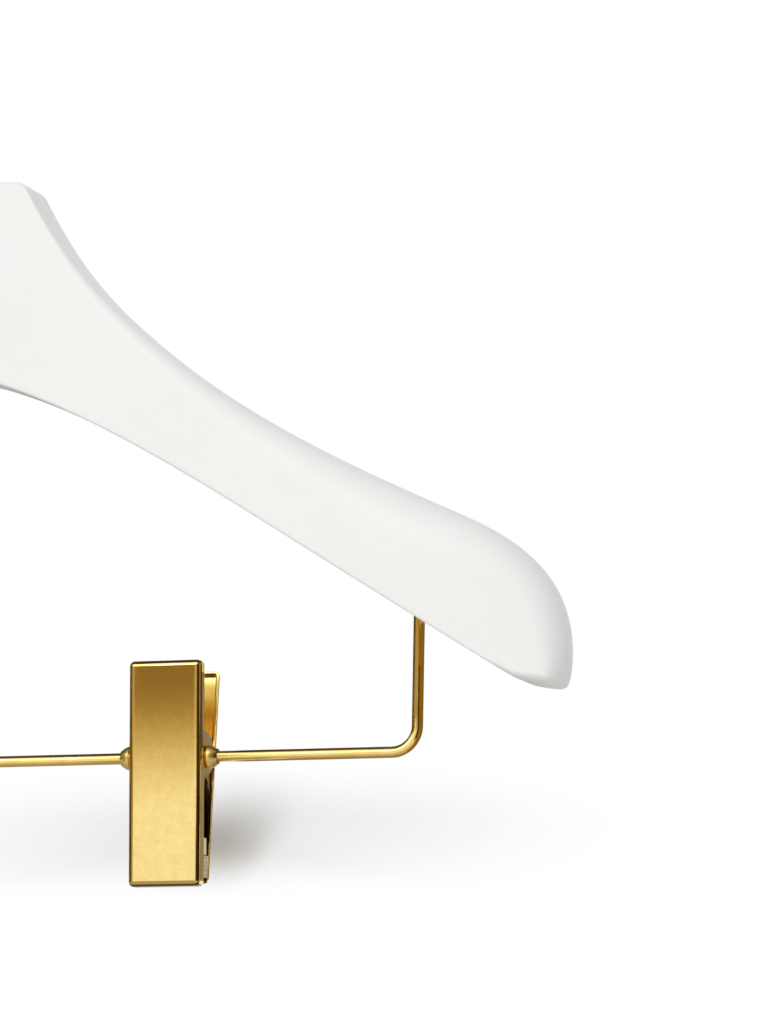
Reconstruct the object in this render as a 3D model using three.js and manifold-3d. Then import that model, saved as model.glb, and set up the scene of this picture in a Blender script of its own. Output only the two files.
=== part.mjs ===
// A wide-shoulder clothes hanger: a painted wooden body glued up from two halves, a wire hook that
// turns in the neck, and a wire bar under the arms with two sprung sheet-metal clips on it.
// Millimetres, +Z up, X along the bar, -Y towards the viewer.
// The origin is the point where the inside of the hook rests on a rail.

import * as THREE from 'three';
import { mergeVertices } from 'three/addons/utils/BufferGeometryUtils.js';
import Module from 'manifold-3d';

const wasm = await Module();
wasm.setup();

// Clearances
const FIT_GAP = 0.3; // between pieces that sit in or beside each other
const BLIND_GAP = 0.5; // past the end of a pin in its blind hole

// Hook, its bush and its collar
const HOOK_STANDOFF = 62.5; // rail contact above the top of the neck
const HOOK_WIRE = 4;
const HOOK_INNER_RADIUS = 16;
const HOOK_BLEND_RADIUS = 12; // where the stem swings out into the crook
const HOOK_TIP_ANGLE = 190; // degrees round the crook, from +X over the top
const SHANK_DEPTH = 26; // shank below the top of the neck
const BUSH_RADIUS = 4.6;
const BUSH_LENGTH = 17;
const FLANGE_RADIUS = 7;
const FLANGE_THICKNESS = 1.6;
const COLLAR_LENGTH = 4;

// Wooden body, right half: places are x from the middle and drop below the top of the neck,
// slopes are degrees below level
const NECK_HALF_WIDTH = 34.5;
const NECK_CORNER = 3.7; // run of the rounding at the corner of the neck
const NECK_SLOPE = 63.2;
const NECK_THICKNESS = 22.4;
const MID_ARM = { x: 85.5, drop: 61.7, slope: 39 };
const HALF_SPAN = 224.3;
const TIP_DROP = 166.6;
const TIP_THICKNESS = 26;
const TAPER_RUN = 60; // length over which the end of the arm narrows
const SHOULDER_RUN = 36.4; // start of the shoulder curve, in from the tip
const SHOULDER_DROP = 120.1;
const SHOULDER_SLOPE = 24.8;
const SHOULDER_THICKNESS = 38;
const HEEL_RUN = 4.2; // lowest point of the shoulder, in from the tip
const HEEL_DROP = 178.9;
const EDGE_END_RUN = 17.3; // end of the straight lower edge, in from the tip
const EDGE_END_DROP = 175.8;
const EDGE_START = { x: 119.9, drop: 120.3 };
const ARCH_DROP = 65.1; // top of the arch under the neck
const FLARE_START = 40; // x where the body starts to thicken
const FLARE_RUN = 140;
const NECK_EDGE = 1.3; // depth of the rounding along the edges, in the front view: at the neck
const SHOULDER_EDGE = 16;
const TIP_EDGE = 8.5;
const HEEL_EDGE = 3.5;
const LOWER_EDGE = 1;
const EDGE_FROM = 45; // x where the rounding starts to deepen
const EDGE_RUN = 123; // length of arm over which it deepens
const CREST_RUN = 115; // length of arm over which the top becomes fully round
const CREST_FLAT = 0.2; // half width left flat along the crest
const CREST_POWER = 2.2; // form of the rounding: 2 is an ellipse, more is fuller
const END_GAP = 0.76; // the last section stops this far short of the point where the outlines meet

// How far each curve of the outline holds its slope at its ends, as a share of its chord
const EASY = 1 / 3;
const NECK_FULLNESS = 0.41;
const ROUND_FULLNESS = 0.4;
const TOE_FULLNESS = 0.25;
const HEEL_FULLNESS = 0.22;
const ARCH_FULLNESS = 0.239;
const ARCH_FOOT_FULLNESS = 0.292;

// Dowels across the centre joint
const DOWEL_RADIUS = 4;
const DOWEL_REACH = 20; // into each half
const DOWEL_COVER = 6; // wood between the shank's hole and the upper dowel
const DOWEL_SPACING = 16;

// Trouser bar
const NECK_TO_BAR = 199;
const BAR_WIRE = 3.8;
const BAR_REACH = 171.4; // middle to the leg, at the height of the bar
const BAR_BEND_RADIUS = 8.8;
const LEG_LEAN = 1.1; // degrees, outwards at the top
const LEG_SEAT = 15; // leg inside the arm

// Clips, about the axis of the bar
const CLIP_X = 85.6;
const SHEET = 0.9;
const JAW_WIDTH = 25.4;
const PAN_BEND = 2; // outside radius where the sheet turns up into the rim
const PAN_CORNER = 1.8;
const LEAST_CORNER = 0.1; // corner left where the bend is wider than the corner
const FRONT_REACH = 8.6; // bar axis to the front face
const FRONT_TOP = 32.3;
const FRONT_BOTTOM = -44;
const FRONT_RIM = 5;
const BACK_REACH = 10.75;
const BACK_TOP = 32.2;
const BACK_BOTTOM = -41.8;
const BACK_RIM = 2.6;
const BACK_LEAN = 9.4; // degrees, handle away from the front jaw
const EAR_RADIUS = 7.1;
const EAR_RISE = 1; // middle of an ear above the pivot
const EAR_TOP_FLARE = 1.8; // extra height of an ear at its root
const FRONT_EAR_FOOT = 4.9; // extra depth of an ear at its root
const BACK_EAR_FOOT = 8.3;
const TUBE_WALL = 0.75;
const TUBE_PLAY = 0.55; // the tube can move this far to either side in the ears
const BEAD_RADIUS = 4.15;
const BEAD_LENGTH = 3.5;
const BEAD_LIP = 0.35; // wall left at the end of a bead

// Pads in the jaws
const PAD_TOP = -27.5;
const RIDGE_HEIGHT = 5.6; // of the front pad's ridge; the back pad's lies below it
const GRIP_Y = 0.45; // where the two ridges end
const PAD_HALF_WIDTH = 12.4; // of the part that stands out of the pans
const PAD_OVERLAP = 0.5; // inner and outer parts of a pad run into each other

// Torsion springs
const SPRING_WIRE = 1.4;
const SPRING_TURNS = 5;
const SPRING_PITCH = 2.3;
const SPRING_PLAY = 0.5; // between the curls and the tube
const SPRING_LEG_HEIGHT = 20; // where the legs press on the handles
const CURL_STEPS = 8;
const CURL_SIDES = 5;

// Fineness of round shapes
const ROUND_SIDES = 16;
const WIRE_SIDES = 10;
const BEND_STEPS = 3;
const CORNER_STEPS = 3;
const CURVE_STEPS = 8;
const BEAD_STEPS = 6;
const CREST_STEPS = 6; // round the top of a body section
const FOOT_ANGLES = [0, 30, 60]; // round its bottom
const OUTLINE_FINENESS = 3; // steps of the outline to each section
const LOWER_STEP = 2; // length of its steps along the lower edge
const LEAST_CROSSING = 0.3; // least sine of the angle between a section and the edge
const ARC_STEP = 9; // degrees along a bent wire
const NOSE_ANGLES = [30, 55, 75]; // rings on the round end of a wire

const NECK_TOP = -HOOK_STANDOFF;
const BAR_Z = NECK_TOP - NECK_TO_BAR;

const radians = THREE.MathUtils.degToRad;
const clamp01 = (value) => THREE.MathUtils.clamp(value, 0, 1);

// A closed body through rings of equally many points, with a flat cap on the first and last ring
function loft(rings) {
  const count = rings[0].length;
  const points = rings.flat();
  const index = [];
  for (let r = 0; r + 1 < rings.length; r++) {
    for (let i = 0; i < count; i++) {
      const a = r * count + i;
      const b = r * count + (i + 1) % count;
      index.push(a, b, a + count, b, b + count, a + count);
    }
  }
  const last = (rings.length - 1) * count;
  for (let i = 1; i + 1 < count; i++) {
    index.push(0, i + 1, i, last, last + i, last + i + 1);
  }
  return facingOut(points, index);
}

// Turns every triangle over if they face inwards
function facingOut(points, index) {
  let volume = 0;
  const normal = new THREE.Vector3();
  for (let i = 0; i < index.length; i += 3) {
    const [a, b, c] = [points[index[i]], points[index[i + 1]], points[index[i + 2]]];
    volume += a.dot(normal.crossVectors(b, c));
  }
  if (volume < 0) index.reverse();
  const geometry = new THREE.BufferGeometry().setFromPoints(points);
  geometry.setIndex(index);
  return geometry;
}

function solid(geometry) {
  const bare = geometry.clone();
  bare.deleteAttribute('normal');
  bare.deleteAttribute('uv');
  const merged = mergeVertices(bare, 1e-4);
  const vertProperties = new Float32Array(merged.attributes.position.array);
  const triVerts = new Uint32Array(merged.index.array);
  return new wasm.Manifold(new wasm.Mesh({ numProp: 3, vertProperties, triVerts }));
}

function surface(body) {
  const mesh = body.getMesh();
  const geometry = new THREE.BufferGeometry();
  geometry.setAttribute('position', new THREE.BufferAttribute(mesh.vertProperties, 3));
  geometry.setIndex(new THREE.BufferAttribute(mesh.triVerts, 1));
  return geometry;
}

function join(...geometries) {
  return surface(geometries.map(solid).reduce((whole, next) => whole.add(next)));
}

function cut(geometry, ...cutters) {
  return surface(cutters.map(solid).reduce((whole, next) => whole.subtract(next), solid(geometry)));
}

// The mirror image across the middle plane x = 0
function mirrored(geometry) {
  const points = [];
  const position = geometry.attributes.position;
  for (let i = 0; i < position.count; i++) {
    points.push(new THREE.Vector3(-position.getX(i), position.getY(i), position.getZ(i)));
  }
  return facingOut(points, Array.from(geometry.index.array));
}

// A round bar from one point to another
function rod(from, to, radius) {
  const way = to.clone().sub(from);
  const geometry = new THREE.CylinderGeometry(radius, radius, way.length(), ROUND_SIDES);
  const turn = new THREE.Quaternion().setFromUnitVectors(new THREE.Vector3(0, 1, 0), way.normalize());
  geometry.applyQuaternion(turn);
  const middle = from.clone().add(to).multiplyScalar(0.5);
  return geometry.translate(middle.x, middle.y, middle.z);
}

// A round wire through points, with square ends or a round nose at the far end
function wire(points, diameter, sides, roundNose = false) {
  const stops = points.map((point) => ({ point, radius: diameter / 2 }));
  if (roundNose) {
    const end = points.at(-1);
    const way = end.clone().sub(points.at(-2)).normalize();
    for (const angle of NOSE_ANGLES) {
      const point = end.clone().addScaledVector(way, Math.sin(radians(angle)) * diameter / 2);
      stops.push({ point, radius: Math.cos(radians(angle)) * diameter / 2 });
    }
  }
  const across = new THREE.Vector3(0, 1, 0);
  const along = new THREE.Vector3();
  const up = new THREE.Vector3();
  const rings = stops.map(({ point, radius }, i) => {
    const before = stops[Math.max(i - 1, 0)].point;
    const after = stops[Math.min(i + 1, stops.length - 1)].point;
    along.subVectors(after, before).normalize();
    if (Math.abs(across.dot(along)) > 0.95) across.set(1, 0, 0);
    across.addScaledVector(along, -across.dot(along)).normalize();
    up.crossVectors(along, across);
    return Array.from({ length: sides }, (_, k) => {
      const angle = 2 * Math.PI * k / sides;
      return point.clone()
        .addScaledVector(across, Math.cos(angle) * radius)
        .addScaledVector(up, Math.sin(angle) * radius);
    });
  });
  return loft(rings);
}

// Points on an arc in the XZ plane, from one angle to another, in degrees from +X towards +Z
function arc(x, z, radius, from, to) {
  const steps = Math.max(2, Math.ceil(Math.abs(to - from) / ARC_STEP));
  return Array.from({ length: steps + 1 }, (_, i) => {
    const angle = radians(from + (to - from) * i / steps);
    return new THREE.Vector3(x + radius * Math.cos(angle), 0, z + radius * Math.sin(angle));
  });
}

// An outline in the YZ plane carried along X from one place to another
function carried(shape, from, to) {
  const settings = { depth: to - from, bevelEnabled: false, curveSegments: CURVE_STEPS };
  const geometry = new THREE.ExtrudeGeometry(shape, settings);
  const axes = new THREE.Matrix4().makeBasis(
    new THREE.Vector3(0, 1, 0), new THREE.Vector3(0, 0, 1), new THREE.Vector3(1, 0, 0));
  return geometry.applyMatrix4(axes).translate(from, 0, 0);
}

function slab(corners, halfWidth) {
  const shape = new THREE.Shape(corners.map(([y, z]) => new THREE.Vector2(y, z)));
  return carried(shape, -halfWidth, halfWidth);
}

// A body of revolution about Z from pairs of radius and height
function turned(profile) {
  const points = profile.map(([radius, z]) => new THREE.Vector2(radius, z));
  const geometry = new THREE.LatheGeometry(points, ROUND_SIDES);
  return geometry.rotateX(Math.PI / 2);
}

// The edge between two places on the body, leaving and arriving at their slopes
function bend(from, to, leave = EASY, arrive = leave) {
  const start = new THREE.Vector2(from.x, NECK_TOP - from.drop);
  const end = new THREE.Vector2(to.x, NECK_TOP - to.drop);
  const reach = start.distanceTo(end);
  const heading = (place) => {
    const slope = radians(place.slope);
    return new THREE.Vector2(Math.cos(slope), -Math.sin(slope));
  };
  const first = start.clone().addScaledVector(heading(from), reach * leave);
  const second = end.clone().addScaledVector(heading(to), -reach * arrive);
  return new THREE.CubicBezierCurve(start, first, second, end);
}

function run(...curves) {
  const path = new THREE.CurvePath();
  curves.forEach((curve) => path.add(curve));
  return path;
}

// Outlines of the right half, seen from the front
const edgeEnd = { x: HALF_SPAN - EDGE_END_RUN, drop: EDGE_END_DROP };
const edgeSlope = THREE.MathUtils.radToDeg(
  Math.atan2(edgeEnd.drop - EDGE_START.drop, edgeEnd.x - EDGE_START.x));

function upperRuns() {
  const slope = radians(NECK_SLOPE);
  const flatEnd = { x: NECK_HALF_WIDTH - NECK_CORNER, drop: 0, slope: 0 };
  const sideStart = {
    x: NECK_HALF_WIDTH + NECK_CORNER * Math.cos(slope),
    drop: NECK_CORNER * Math.sin(slope),
    slope: NECK_SLOPE,
  };
  const shoulder = { x: HALF_SPAN - SHOULDER_RUN, drop: SHOULDER_DROP, slope: SHOULDER_SLOPE };
  const tip = { x: HALF_SPAN, drop: TIP_DROP, slope: 90 };
  const heel = { x: HALF_SPAN - HEEL_RUN, drop: HEEL_DROP, slope: 180 };
  return [
    { curve: run(bend({ x: 0, drop: 0, slope: 0 }, flatEnd)), steps: 2 },
    { curve: run(bend(flatEnd, sideStart, ROUND_FULLNESS)), steps: 3 },
    { curve: run(bend(sideStart, MID_ARM, NECK_FULLNESS, EASY), bend(MID_ARM, shoulder)), steps: 13 },
    { curve: run(bend(shoulder, tip, ROUND_FULLNESS)), steps: 8 },
    { curve: run(bend(tip, heel, TOE_FULLNESS)), steps: 5 },
  ];
}

function lowerRun() {
  const archTop = { x: 0, drop: ARCH_DROP, slope: 0 };
  const start = { ...EDGE_START, slope: edgeSlope };
  const end = { ...edgeEnd, slope: edgeSlope };
  const heel = { x: HALF_SPAN - HEEL_RUN, drop: HEEL_DROP, slope: 0 };
  const arch = bend(archTop, start, ARCH_FULLNESS, ARCH_FOOT_FULLNESS);
  return run(arch, bend(start, end), bend(end, heel, HEEL_FULLNESS));
}

// The run of the upper outline that goes round the shoulder to the tip
const SHOULDER_CURVE = 3;

// Share of the lower outline that lies under the end of each upper run
const LOWER_SHARES = [0, 0.095, 0.107, 0.757, 0.985, 1];

function halfThickness(x) {
  const flare = THREE.MathUtils.smoothstep(x, FLARE_START, FLARE_START + FLARE_RUN);
  const taper = clamp01((x - HALF_SPAN + TAPER_RUN) / TAPER_RUN) ** 2;
  const outer = THREE.MathUtils.lerp(SHOULDER_THICKNESS, TIP_THICKNESS, taper);
  return THREE.MathUtils.lerp(NECK_THICKNESS, outer, flare) / 2;
}

// How deep the rounding of the upper edge runs in from the edge, along each of its runs
function upperDepth(run, share, x) {
  if (run === SHOULDER_CURVE) return THREE.MathUtils.lerp(SHOULDER_EDGE, TIP_EDGE, share);
  if (run > SHOULDER_CURVE) return THREE.MathUtils.lerp(TIP_EDGE, HEEL_EDGE, share);
  const growth = clamp01((x - EDGE_FROM) / EDGE_RUN);
  return THREE.MathUtils.lerp(NECK_EDGE, SHOULDER_EDGE, growth);
}

// A point of an edge, with the depth of its rounding and how far that draws in the faces
function edgeStop(place, depth, draw) {
  return { point: new THREE.Vector3(place.x, 0, place.y), depth, draw };
}

// An edge in short steps
function edgeSteps(stops) {
  return stops.slice(1).map((to, i) => {
    const from = stops[i];
    return { line: new THREE.Line3(from.point, to.point), from, to };
  });
}

function upperEdge() {
  const stops = [];
  upperRuns().forEach(({ curve, steps }, i) => {
    for (let k = i === 0 ? 0 : 1; k <= steps * OUTLINE_FINENESS; k++) {
      const share = k / (steps * OUTLINE_FINENESS);
      const place = curve.getPoint(share);
      const crest = clamp01((place.x - EDGE_FROM) / CREST_RUN);
      const fullDraw = THREE.MathUtils.lerp(NECK_EDGE, SHOULDER_THICKNESS / 2, crest);
      const draw = Math.min(fullDraw, halfThickness(place.x) - CREST_FLAT);
      stops.push(edgeStop(place, upperDepth(i, share, place.x), draw));
    }
  });
  return edgeSteps(stops);
}

function lowerEdge() {
  const lower = lowerRun();
  const count = Math.ceil(lower.getLength() / LOWER_STEP);
  const stops = [];
  for (let k = 0; k <= count; k++) {
    stops.push(edgeStop(lower.getPoint(k / count), LOWER_EDGE, LOWER_EDGE));
  }
  return edgeSteps(stops);
}

const edges = { upper: upperEdge(), lower: lowerEdge() };

// The rounding at the nearest point of an edge, and how far away that is
function nearestOn(edge, point) {
  const foot = new THREE.Vector3();
  const nearest = { distance: Infinity };
  for (const { line, from, to } of edge) {
    const share = line.closestPointToPointParameter(point, true);
    const distance = line.at(share, foot).distanceTo(point);
    if (distance < nearest.distance) {
      nearest.distance = distance;
      nearest.depth = THREE.MathUtils.lerp(from.depth, to.depth, share);
      nearest.draw = THREE.MathUtils.lerp(from.draw, to.draw, share);
      nearest.line = line;
    }
  }
  return nearest;
}

// Half the thickness of the body at a point of the front view
function roundedHalf(point) {
  const full = halfThickness(point.x);
  const halves = Object.values(edges).map((edge) => {
    const { distance, depth, draw } = nearestOn(edge, point);
    const bulge = (1 - (1 - clamp01(distance / depth)) ** CREST_POWER) ** (1 / CREST_POWER);
    return full - draw * (1 - bulge);
  });
  return Math.max(Math.min(...halves), CREST_FLAT);
}

// One closed section between a low and a high point of the outlines
function bodySection(low, high) {
  const bottom = new THREE.Vector3(low.x, 0, low.y);
  const top = new THREE.Vector3(high.x, 0, high.y);
  const way = top.clone().sub(bottom);
  const height = way.length();
  way.normalize();
  // Length of the rounding along the section, which crosses the edge at a slant
  const spread = (edge) => {
    const along = edge.line.delta(new THREE.Vector3()).normalize();
    return edge.depth / Math.max(along.cross(way).length(), LEAST_CROSSING);
  };
  const foot = spread(nearestOn(edges.lower, bottom));
  const crest = spread(nearestOn(edges.upper, top));
  const room = Math.min(1, height / (foot + crest));
  const rises = FOOT_ANGLES.map((angle) => foot * room * (1 - Math.cos(radians(angle))));
  for (let k = 0; k <= CREST_STEPS; k++) {
    rises.push(height - crest * room * (1 - Math.sin(Math.PI / 2 * k / CREST_STEPS)));
  }
  const front = rises.map((rise) => {
    const point = bottom.clone().addScaledVector(way, rise);
    point.y = -roundedHalf(point);
    return point;
  });
  const back = front.map((point) => new THREE.Vector3(point.x, -point.y, point.z)).reverse();
  return [...front, ...back];
}

function armBlank() {
  const lower = lowerRun();
  const sections = [];
  upperRuns().forEach(({ curve, steps }, i, all) => {
    const end = i === all.length - 1 ? 1 - END_GAP / curve.getLength() : 1;
    for (let k = i === 0 ? 0 : 1; k <= steps; k++) {
      const share = end * k / steps;
      const below = THREE.MathUtils.lerp(LOWER_SHARES[i], LOWER_SHARES[i + 1], share);
      sections.push(bodySection(lower.getPoint(below), curve.getPoint(share)));
    }
  });
  return loft(sections);
}

const upperDowelDrop = SHANK_DEPTH + BLIND_GAP + DOWEL_COVER + DOWEL_RADIUS;
const dowelDrops = { upper_dowel: upperDowelDrop, lower_dowel: upperDowelDrop + DOWEL_SPACING };

// Axis of the bar's right leg, from the corner at the bar to its end in the arm
const legLean = Math.tan(radians(LEG_LEAN));
const legBottom = new THREE.Vector3(BAR_REACH, 0, BAR_Z);
const legEntryZ = NECK_TOP - EDGE_START.drop - (BAR_REACH - EDGE_START.x) * Math.tan(radians(edgeSlope));
const legTopZ = legEntryZ + LEG_SEAT;
const legTop = new THREE.Vector3(BAR_REACH + (legTopZ - BAR_Z) * legLean, 0, legTopZ);

function rightArm() {
  const bushBottom = new THREE.Vector3(0, 0, NECK_TOP - SHANK_DEPTH - BLIND_GAP);
  const bushTop = new THREE.Vector3(0, 0, NECK_TOP + SHANK_DEPTH);
  const cutters = [rod(bushBottom, bushTop, BUSH_RADIUS + FIT_GAP)];
  for (const drop of Object.values(dowelDrops)) {
    const reach = DOWEL_REACH + BLIND_GAP;
    cutters.push(rod(
      new THREE.Vector3(-reach, 0, NECK_TOP - drop),
      new THREE.Vector3(reach, 0, NECK_TOP - drop),
      DOWEL_RADIUS + FIT_GAP));
  }
  const way = legTop.clone().sub(legBottom).normalize();
  cutters.push(rod(legBottom, legTop.clone().addScaledVector(way, BLIND_GAP), BAR_WIRE / 2 + FIT_GAP));
  return cut(armBlank(), ...cutters);
}

function dowel(drop) {
  return rod(
    new THREE.Vector3(-DOWEL_REACH, 0, NECK_TOP - drop),
    new THREE.Vector3(DOWEL_REACH, 0, NECK_TOP - drop),
    DOWEL_RADIUS);
}

function hook() {
  const radius = HOOK_INNER_RADIUS + HOOK_WIRE / 2;
  const crookZ = -HOOK_INNER_RADIUS;
  const rise = Math.sqrt(radius ** 2 + 2 * radius * HOOK_BLEND_RADIUS);
  const stemTop = crookZ - rise;
  const meet = THREE.MathUtils.radToDeg(Math.atan2(rise, -HOOK_BLEND_RADIUS));
  const blend = arc(HOOK_BLEND_RADIUS, stemTop, HOOK_BLEND_RADIUS, 180, meet);
  const crook = arc(0, crookZ, radius, meet - 180, HOOK_TIP_ANGLE);
  const shankEnd = new THREE.Vector3(0, 0, NECK_TOP - SHANK_DEPTH);
  return wire([shankEnd, ...blend, ...crook.slice(1)], HOOK_WIRE, WIRE_SIDES, true);
}

function hookBush() {
  const bore = HOOK_WIRE / 2 + FIT_GAP;
  return turned([
    [bore, NECK_TOP - BUSH_LENGTH],
    [BUSH_RADIUS, NECK_TOP - BUSH_LENGTH],
    [BUSH_RADIUS, NECK_TOP],
    [FLANGE_RADIUS, NECK_TOP],
    [FLANGE_RADIUS, NECK_TOP + FLANGE_THICKNESS / 2],
    [FLANGE_RADIUS - FLANGE_THICKNESS / 2, NECK_TOP + FLANGE_THICKNESS],
    [bore, NECK_TOP + FLANGE_THICKNESS],
    [bore, NECK_TOP - BUSH_LENGTH],
  ]);
}

function hookCollar() {
  const top = NECK_TOP - BUSH_LENGTH - FIT_GAP;
  const bore = HOOK_WIRE / 2 + FIT_GAP;
  return turned([
    [bore, top - COLLAR_LENGTH],
    [BUSH_RADIUS, top - COLLAR_LENGTH],
    [BUSH_RADIUS, top],
    [bore, top],
    [bore, top - COLLAR_LENGTH],
  ]);
}

function trouserBar() {
  const turn = 90 - LEG_LEAN;
  const tangent = BAR_BEND_RADIUS * Math.tan(radians(turn) / 2);
  const corner = arc(BAR_REACH - tangent, BAR_Z + BAR_BEND_RADIUS, BAR_BEND_RADIUS, -90, turn - 90);
  const right = [...corner, legTop];
  const left = right.map((point) => new THREE.Vector3(-point.x, point.y, point.z)).reverse();
  return wire([...left, ...right], BAR_WIRE, WIRE_SIDES);
}

// A sheet pan with a rounded rectangular floor facing -Y at y = -reach and a rim turned back towards +Y
function pan(low, high, rim, reach) {
  const inner = PAN_BEND - SHEET;
  const ring = (inset, y) => {
    const corner = Math.max(PAN_CORNER - inset, LEAST_CORNER);
    const right = JAW_WIDTH / 2 - inset - corner;
    const top = high - inset - corner;
    const bottom = low + inset + corner;
    const centres = [[right, top], [-right, top], [-right, bottom], [right, bottom]];
    return centres.flatMap(([x, z], quarter) => Array.from({ length: CORNER_STEPS + 1 }, (_, k) => {
      const angle = (quarter + k / CORNER_STEPS) * Math.PI / 2;
      return new THREE.Vector3(x + corner * Math.cos(angle), y - reach, z + corner * Math.sin(angle));
    }));
  };
  const rings = [];
  for (let k = 0; k <= BEND_STEPS; k++) {
    const angle = k / BEND_STEPS * Math.PI / 2;
    rings.push(ring(PAN_BEND * (1 - Math.sin(angle)), PAN_BEND * (1 - Math.cos(angle))));
  }
  rings.push(ring(0, rim), ring(SHEET, rim));
  for (let k = BEND_STEPS; k >= 0; k--) {
    const angle = k / BEND_STEPS * Math.PI / 2;
    rings.push(ring(SHEET + inner * (1 - Math.sin(angle)), SHEET + inner * (1 - Math.cos(angle))));
  }
  return loft(rings);
}

const tubeRadius = BAR_WIRE / 2 + FIT_GAP + TUBE_WALL;

// A flat ear round the pivot, flared where it leaves the pan at y = root
function ear(root, foot, lowerFlare, outerFace) {
  const top = EAR_RISE + EAR_RADIUS;
  const bottom = EAR_RISE - EAR_RADIUS;
  const shape = new THREE.Shape();
  shape.moveTo(foot, top + EAR_TOP_FLARE);
  shape.lineTo(root, top + EAR_TOP_FLARE);
  shape.quadraticCurveTo(root, top, 0, top);
  shape.absarc(0, EAR_RISE, EAR_RADIUS, Math.PI / 2, -Math.PI / 2, true);
  shape.quadraticCurveTo(root, bottom, root, bottom - lowerFlare);
  shape.lineTo(foot, bottom - lowerFlare);
  const hole = new THREE.Path();
  hole.absarc(0, 0, tubeRadius + FIT_GAP, 0, 2 * Math.PI, false);
  shape.holes.push(hole);
  return [carried(shape, outerFace - SHEET, outerFace), carried(shape, -outerFace, SHEET - outerFace)];
}

function frontJaw() {
  const rimEdge = FRONT_RIM - FRONT_REACH;
  const ears = ear(rimEdge, rimEdge - SHEET, FRONT_EAR_FOOT, JAW_WIDTH / 2);
  return join(pan(FRONT_BOTTOM, FRONT_TOP, FRONT_RIM, FRONT_REACH), ...ears);
}

// Made facing forwards like the front jaw, then turned round; its ears fit inside the front jaw's
function backJaw() {
  const floor = SHEET - BACK_REACH;
  const ears = ear(floor, floor - SHEET / 2, BACK_EAR_FOOT, JAW_WIDTH / 2 - SHEET - FIT_GAP);
  return join(pan(BACK_BOTTOM, BACK_TOP, BACK_RIM, BACK_REACH), ...ears).rotateZ(Math.PI);
}

// A tubular rivet along X with a domed bead at each end, pushed inwards as far as its play goes
function pivotTube(outwards) {
  const bore = BAR_WIRE / 2 + FIT_GAP;
  const lip = bore + BEAD_LIP;
  const beadStart = JAW_WIDTH / 2 + FIT_GAP + TUBE_PLAY;
  const end = beadStart + BEAD_LENGTH;
  const half = [[tubeRadius, beadStart]];
  for (let k = 0; k <= BEAD_STEPS; k++) {
    const share = k / BEAD_STEPS;
    half.push([
      lip + (BEAD_RADIUS - lip) * Math.cos(share * Math.PI / 2),
      beadStart + BEAD_LENGTH * share,
    ]);
  }
  const mirror = half.map(([radius, x]) => [radius, -x]).reverse();
  const tube = turned([[bore, -end], ...mirror, ...half, [bore, end], [bore, -end]]).rotateY(Math.PI / 2);
  return tube.translate(-outwards * TUBE_PLAY, 0, 0);
}

// Distance of a line in the leaning back jaw from the pivot, as a y at the height z
const leaning = (offset, z) => offset / Math.cos(radians(BACK_LEAN)) + z * Math.tan(radians(BACK_LEAN));

function frontPad() {
  const floor = SHEET + FIT_GAP - FRONT_REACH;
  const rimEdge = FRONT_RIM + FIT_GAP - FRONT_REACH;
  const bottom = FRONT_BOTTOM + PAN_BEND + FIT_GAP;
  const ridgeBottom = PAD_TOP - RIDGE_HEIGHT;
  const tip = GRIP_Y - FIT_GAP / 2;
  const base = rimEdge + PAD_OVERLAP;
  const inner = [[floor, bottom], [base, bottom], [base, PAD_TOP], [floor, PAD_TOP]];
  const ridge = [[rimEdge, ridgeBottom], [tip, ridgeBottom], [tip, PAD_TOP], [rimEdge, PAD_TOP]];
  return join(slab(inner, JAW_WIDTH / 2 - PAN_BEND), slab(ridge, PAD_HALF_WIDTH));
}

function backPad() {
  const lean = radians(BACK_LEAN);
  const floor = (z) => leaning(BACK_REACH - SHEET - FIT_GAP, z);
  const rimEdge = (z) => leaning(BACK_REACH - BACK_RIM - FIT_GAP, z);
  const bottom = (BACK_BOTTOM + PAN_BEND + FIT_GAP) * Math.cos(lean) - BACK_REACH * Math.sin(lean);
  const tip = GRIP_Y + FIT_GAP / 2;
  const inner = [
    [rimEdge(PAD_TOP) - PAD_OVERLAP, PAD_TOP],
    [rimEdge(bottom) - PAD_OVERLAP, bottom],
    [floor(bottom), bottom],
    [floor(PAD_TOP), PAD_TOP],
  ];
  const ridgeTop = PAD_TOP - RIDGE_HEIGHT - FIT_GAP;
  const ridge = [[tip, ridgeTop], [tip, bottom], [rimEdge(bottom), bottom], [rimEdge(ridgeTop), ridgeTop]];
  return join(slab(inner, JAW_WIDTH / 2 - PAN_BEND), slab(ridge, PAD_HALF_WIDTH));
}

// Centre line of a torsion spring: down a leg from the front handle, round the tube, up to the back handle
function springPath() {
  const radius = tubeRadius + SPRING_PLAY + SPRING_WIRE / 2;
  const clear = FIT_GAP + SPRING_WIRE / 2;
  const frontEnd = new THREE.Vector2(SHEET + clear - FRONT_REACH, SPRING_LEG_HEIGHT);
  const backY = leaning(BACK_REACH - SHEET - clear, SPRING_LEG_HEIGHT);
  const backEnd = new THREE.Vector2(backY, SPRING_LEG_HEIGHT);
  const first = frontEnd.angle() + Math.acos(radius / frontEnd.length());
  const last = backEnd.angle() - Math.acos(radius / backEnd.length()) + 2 * Math.PI * SPRING_TURNS;
  const halfLength = (last - first) / (2 * Math.PI) * SPRING_PITCH / 2;
  const steps = Math.round((last - first) / (2 * Math.PI) * CURL_STEPS);
  const points = [new THREE.Vector3(-halfLength, frontEnd.x, frontEnd.y)];
  for (let k = 0; k <= steps; k++) {
    const angle = first + (last - first) * k / steps;
    const x = halfLength * (2 * k / steps - 1);
    points.push(new THREE.Vector3(x, radius * Math.cos(angle), radius * Math.sin(angle)));
  }
  points.push(new THREE.Vector3(halfLength, backEnd.x, backEnd.y));
  return points;
}

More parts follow.
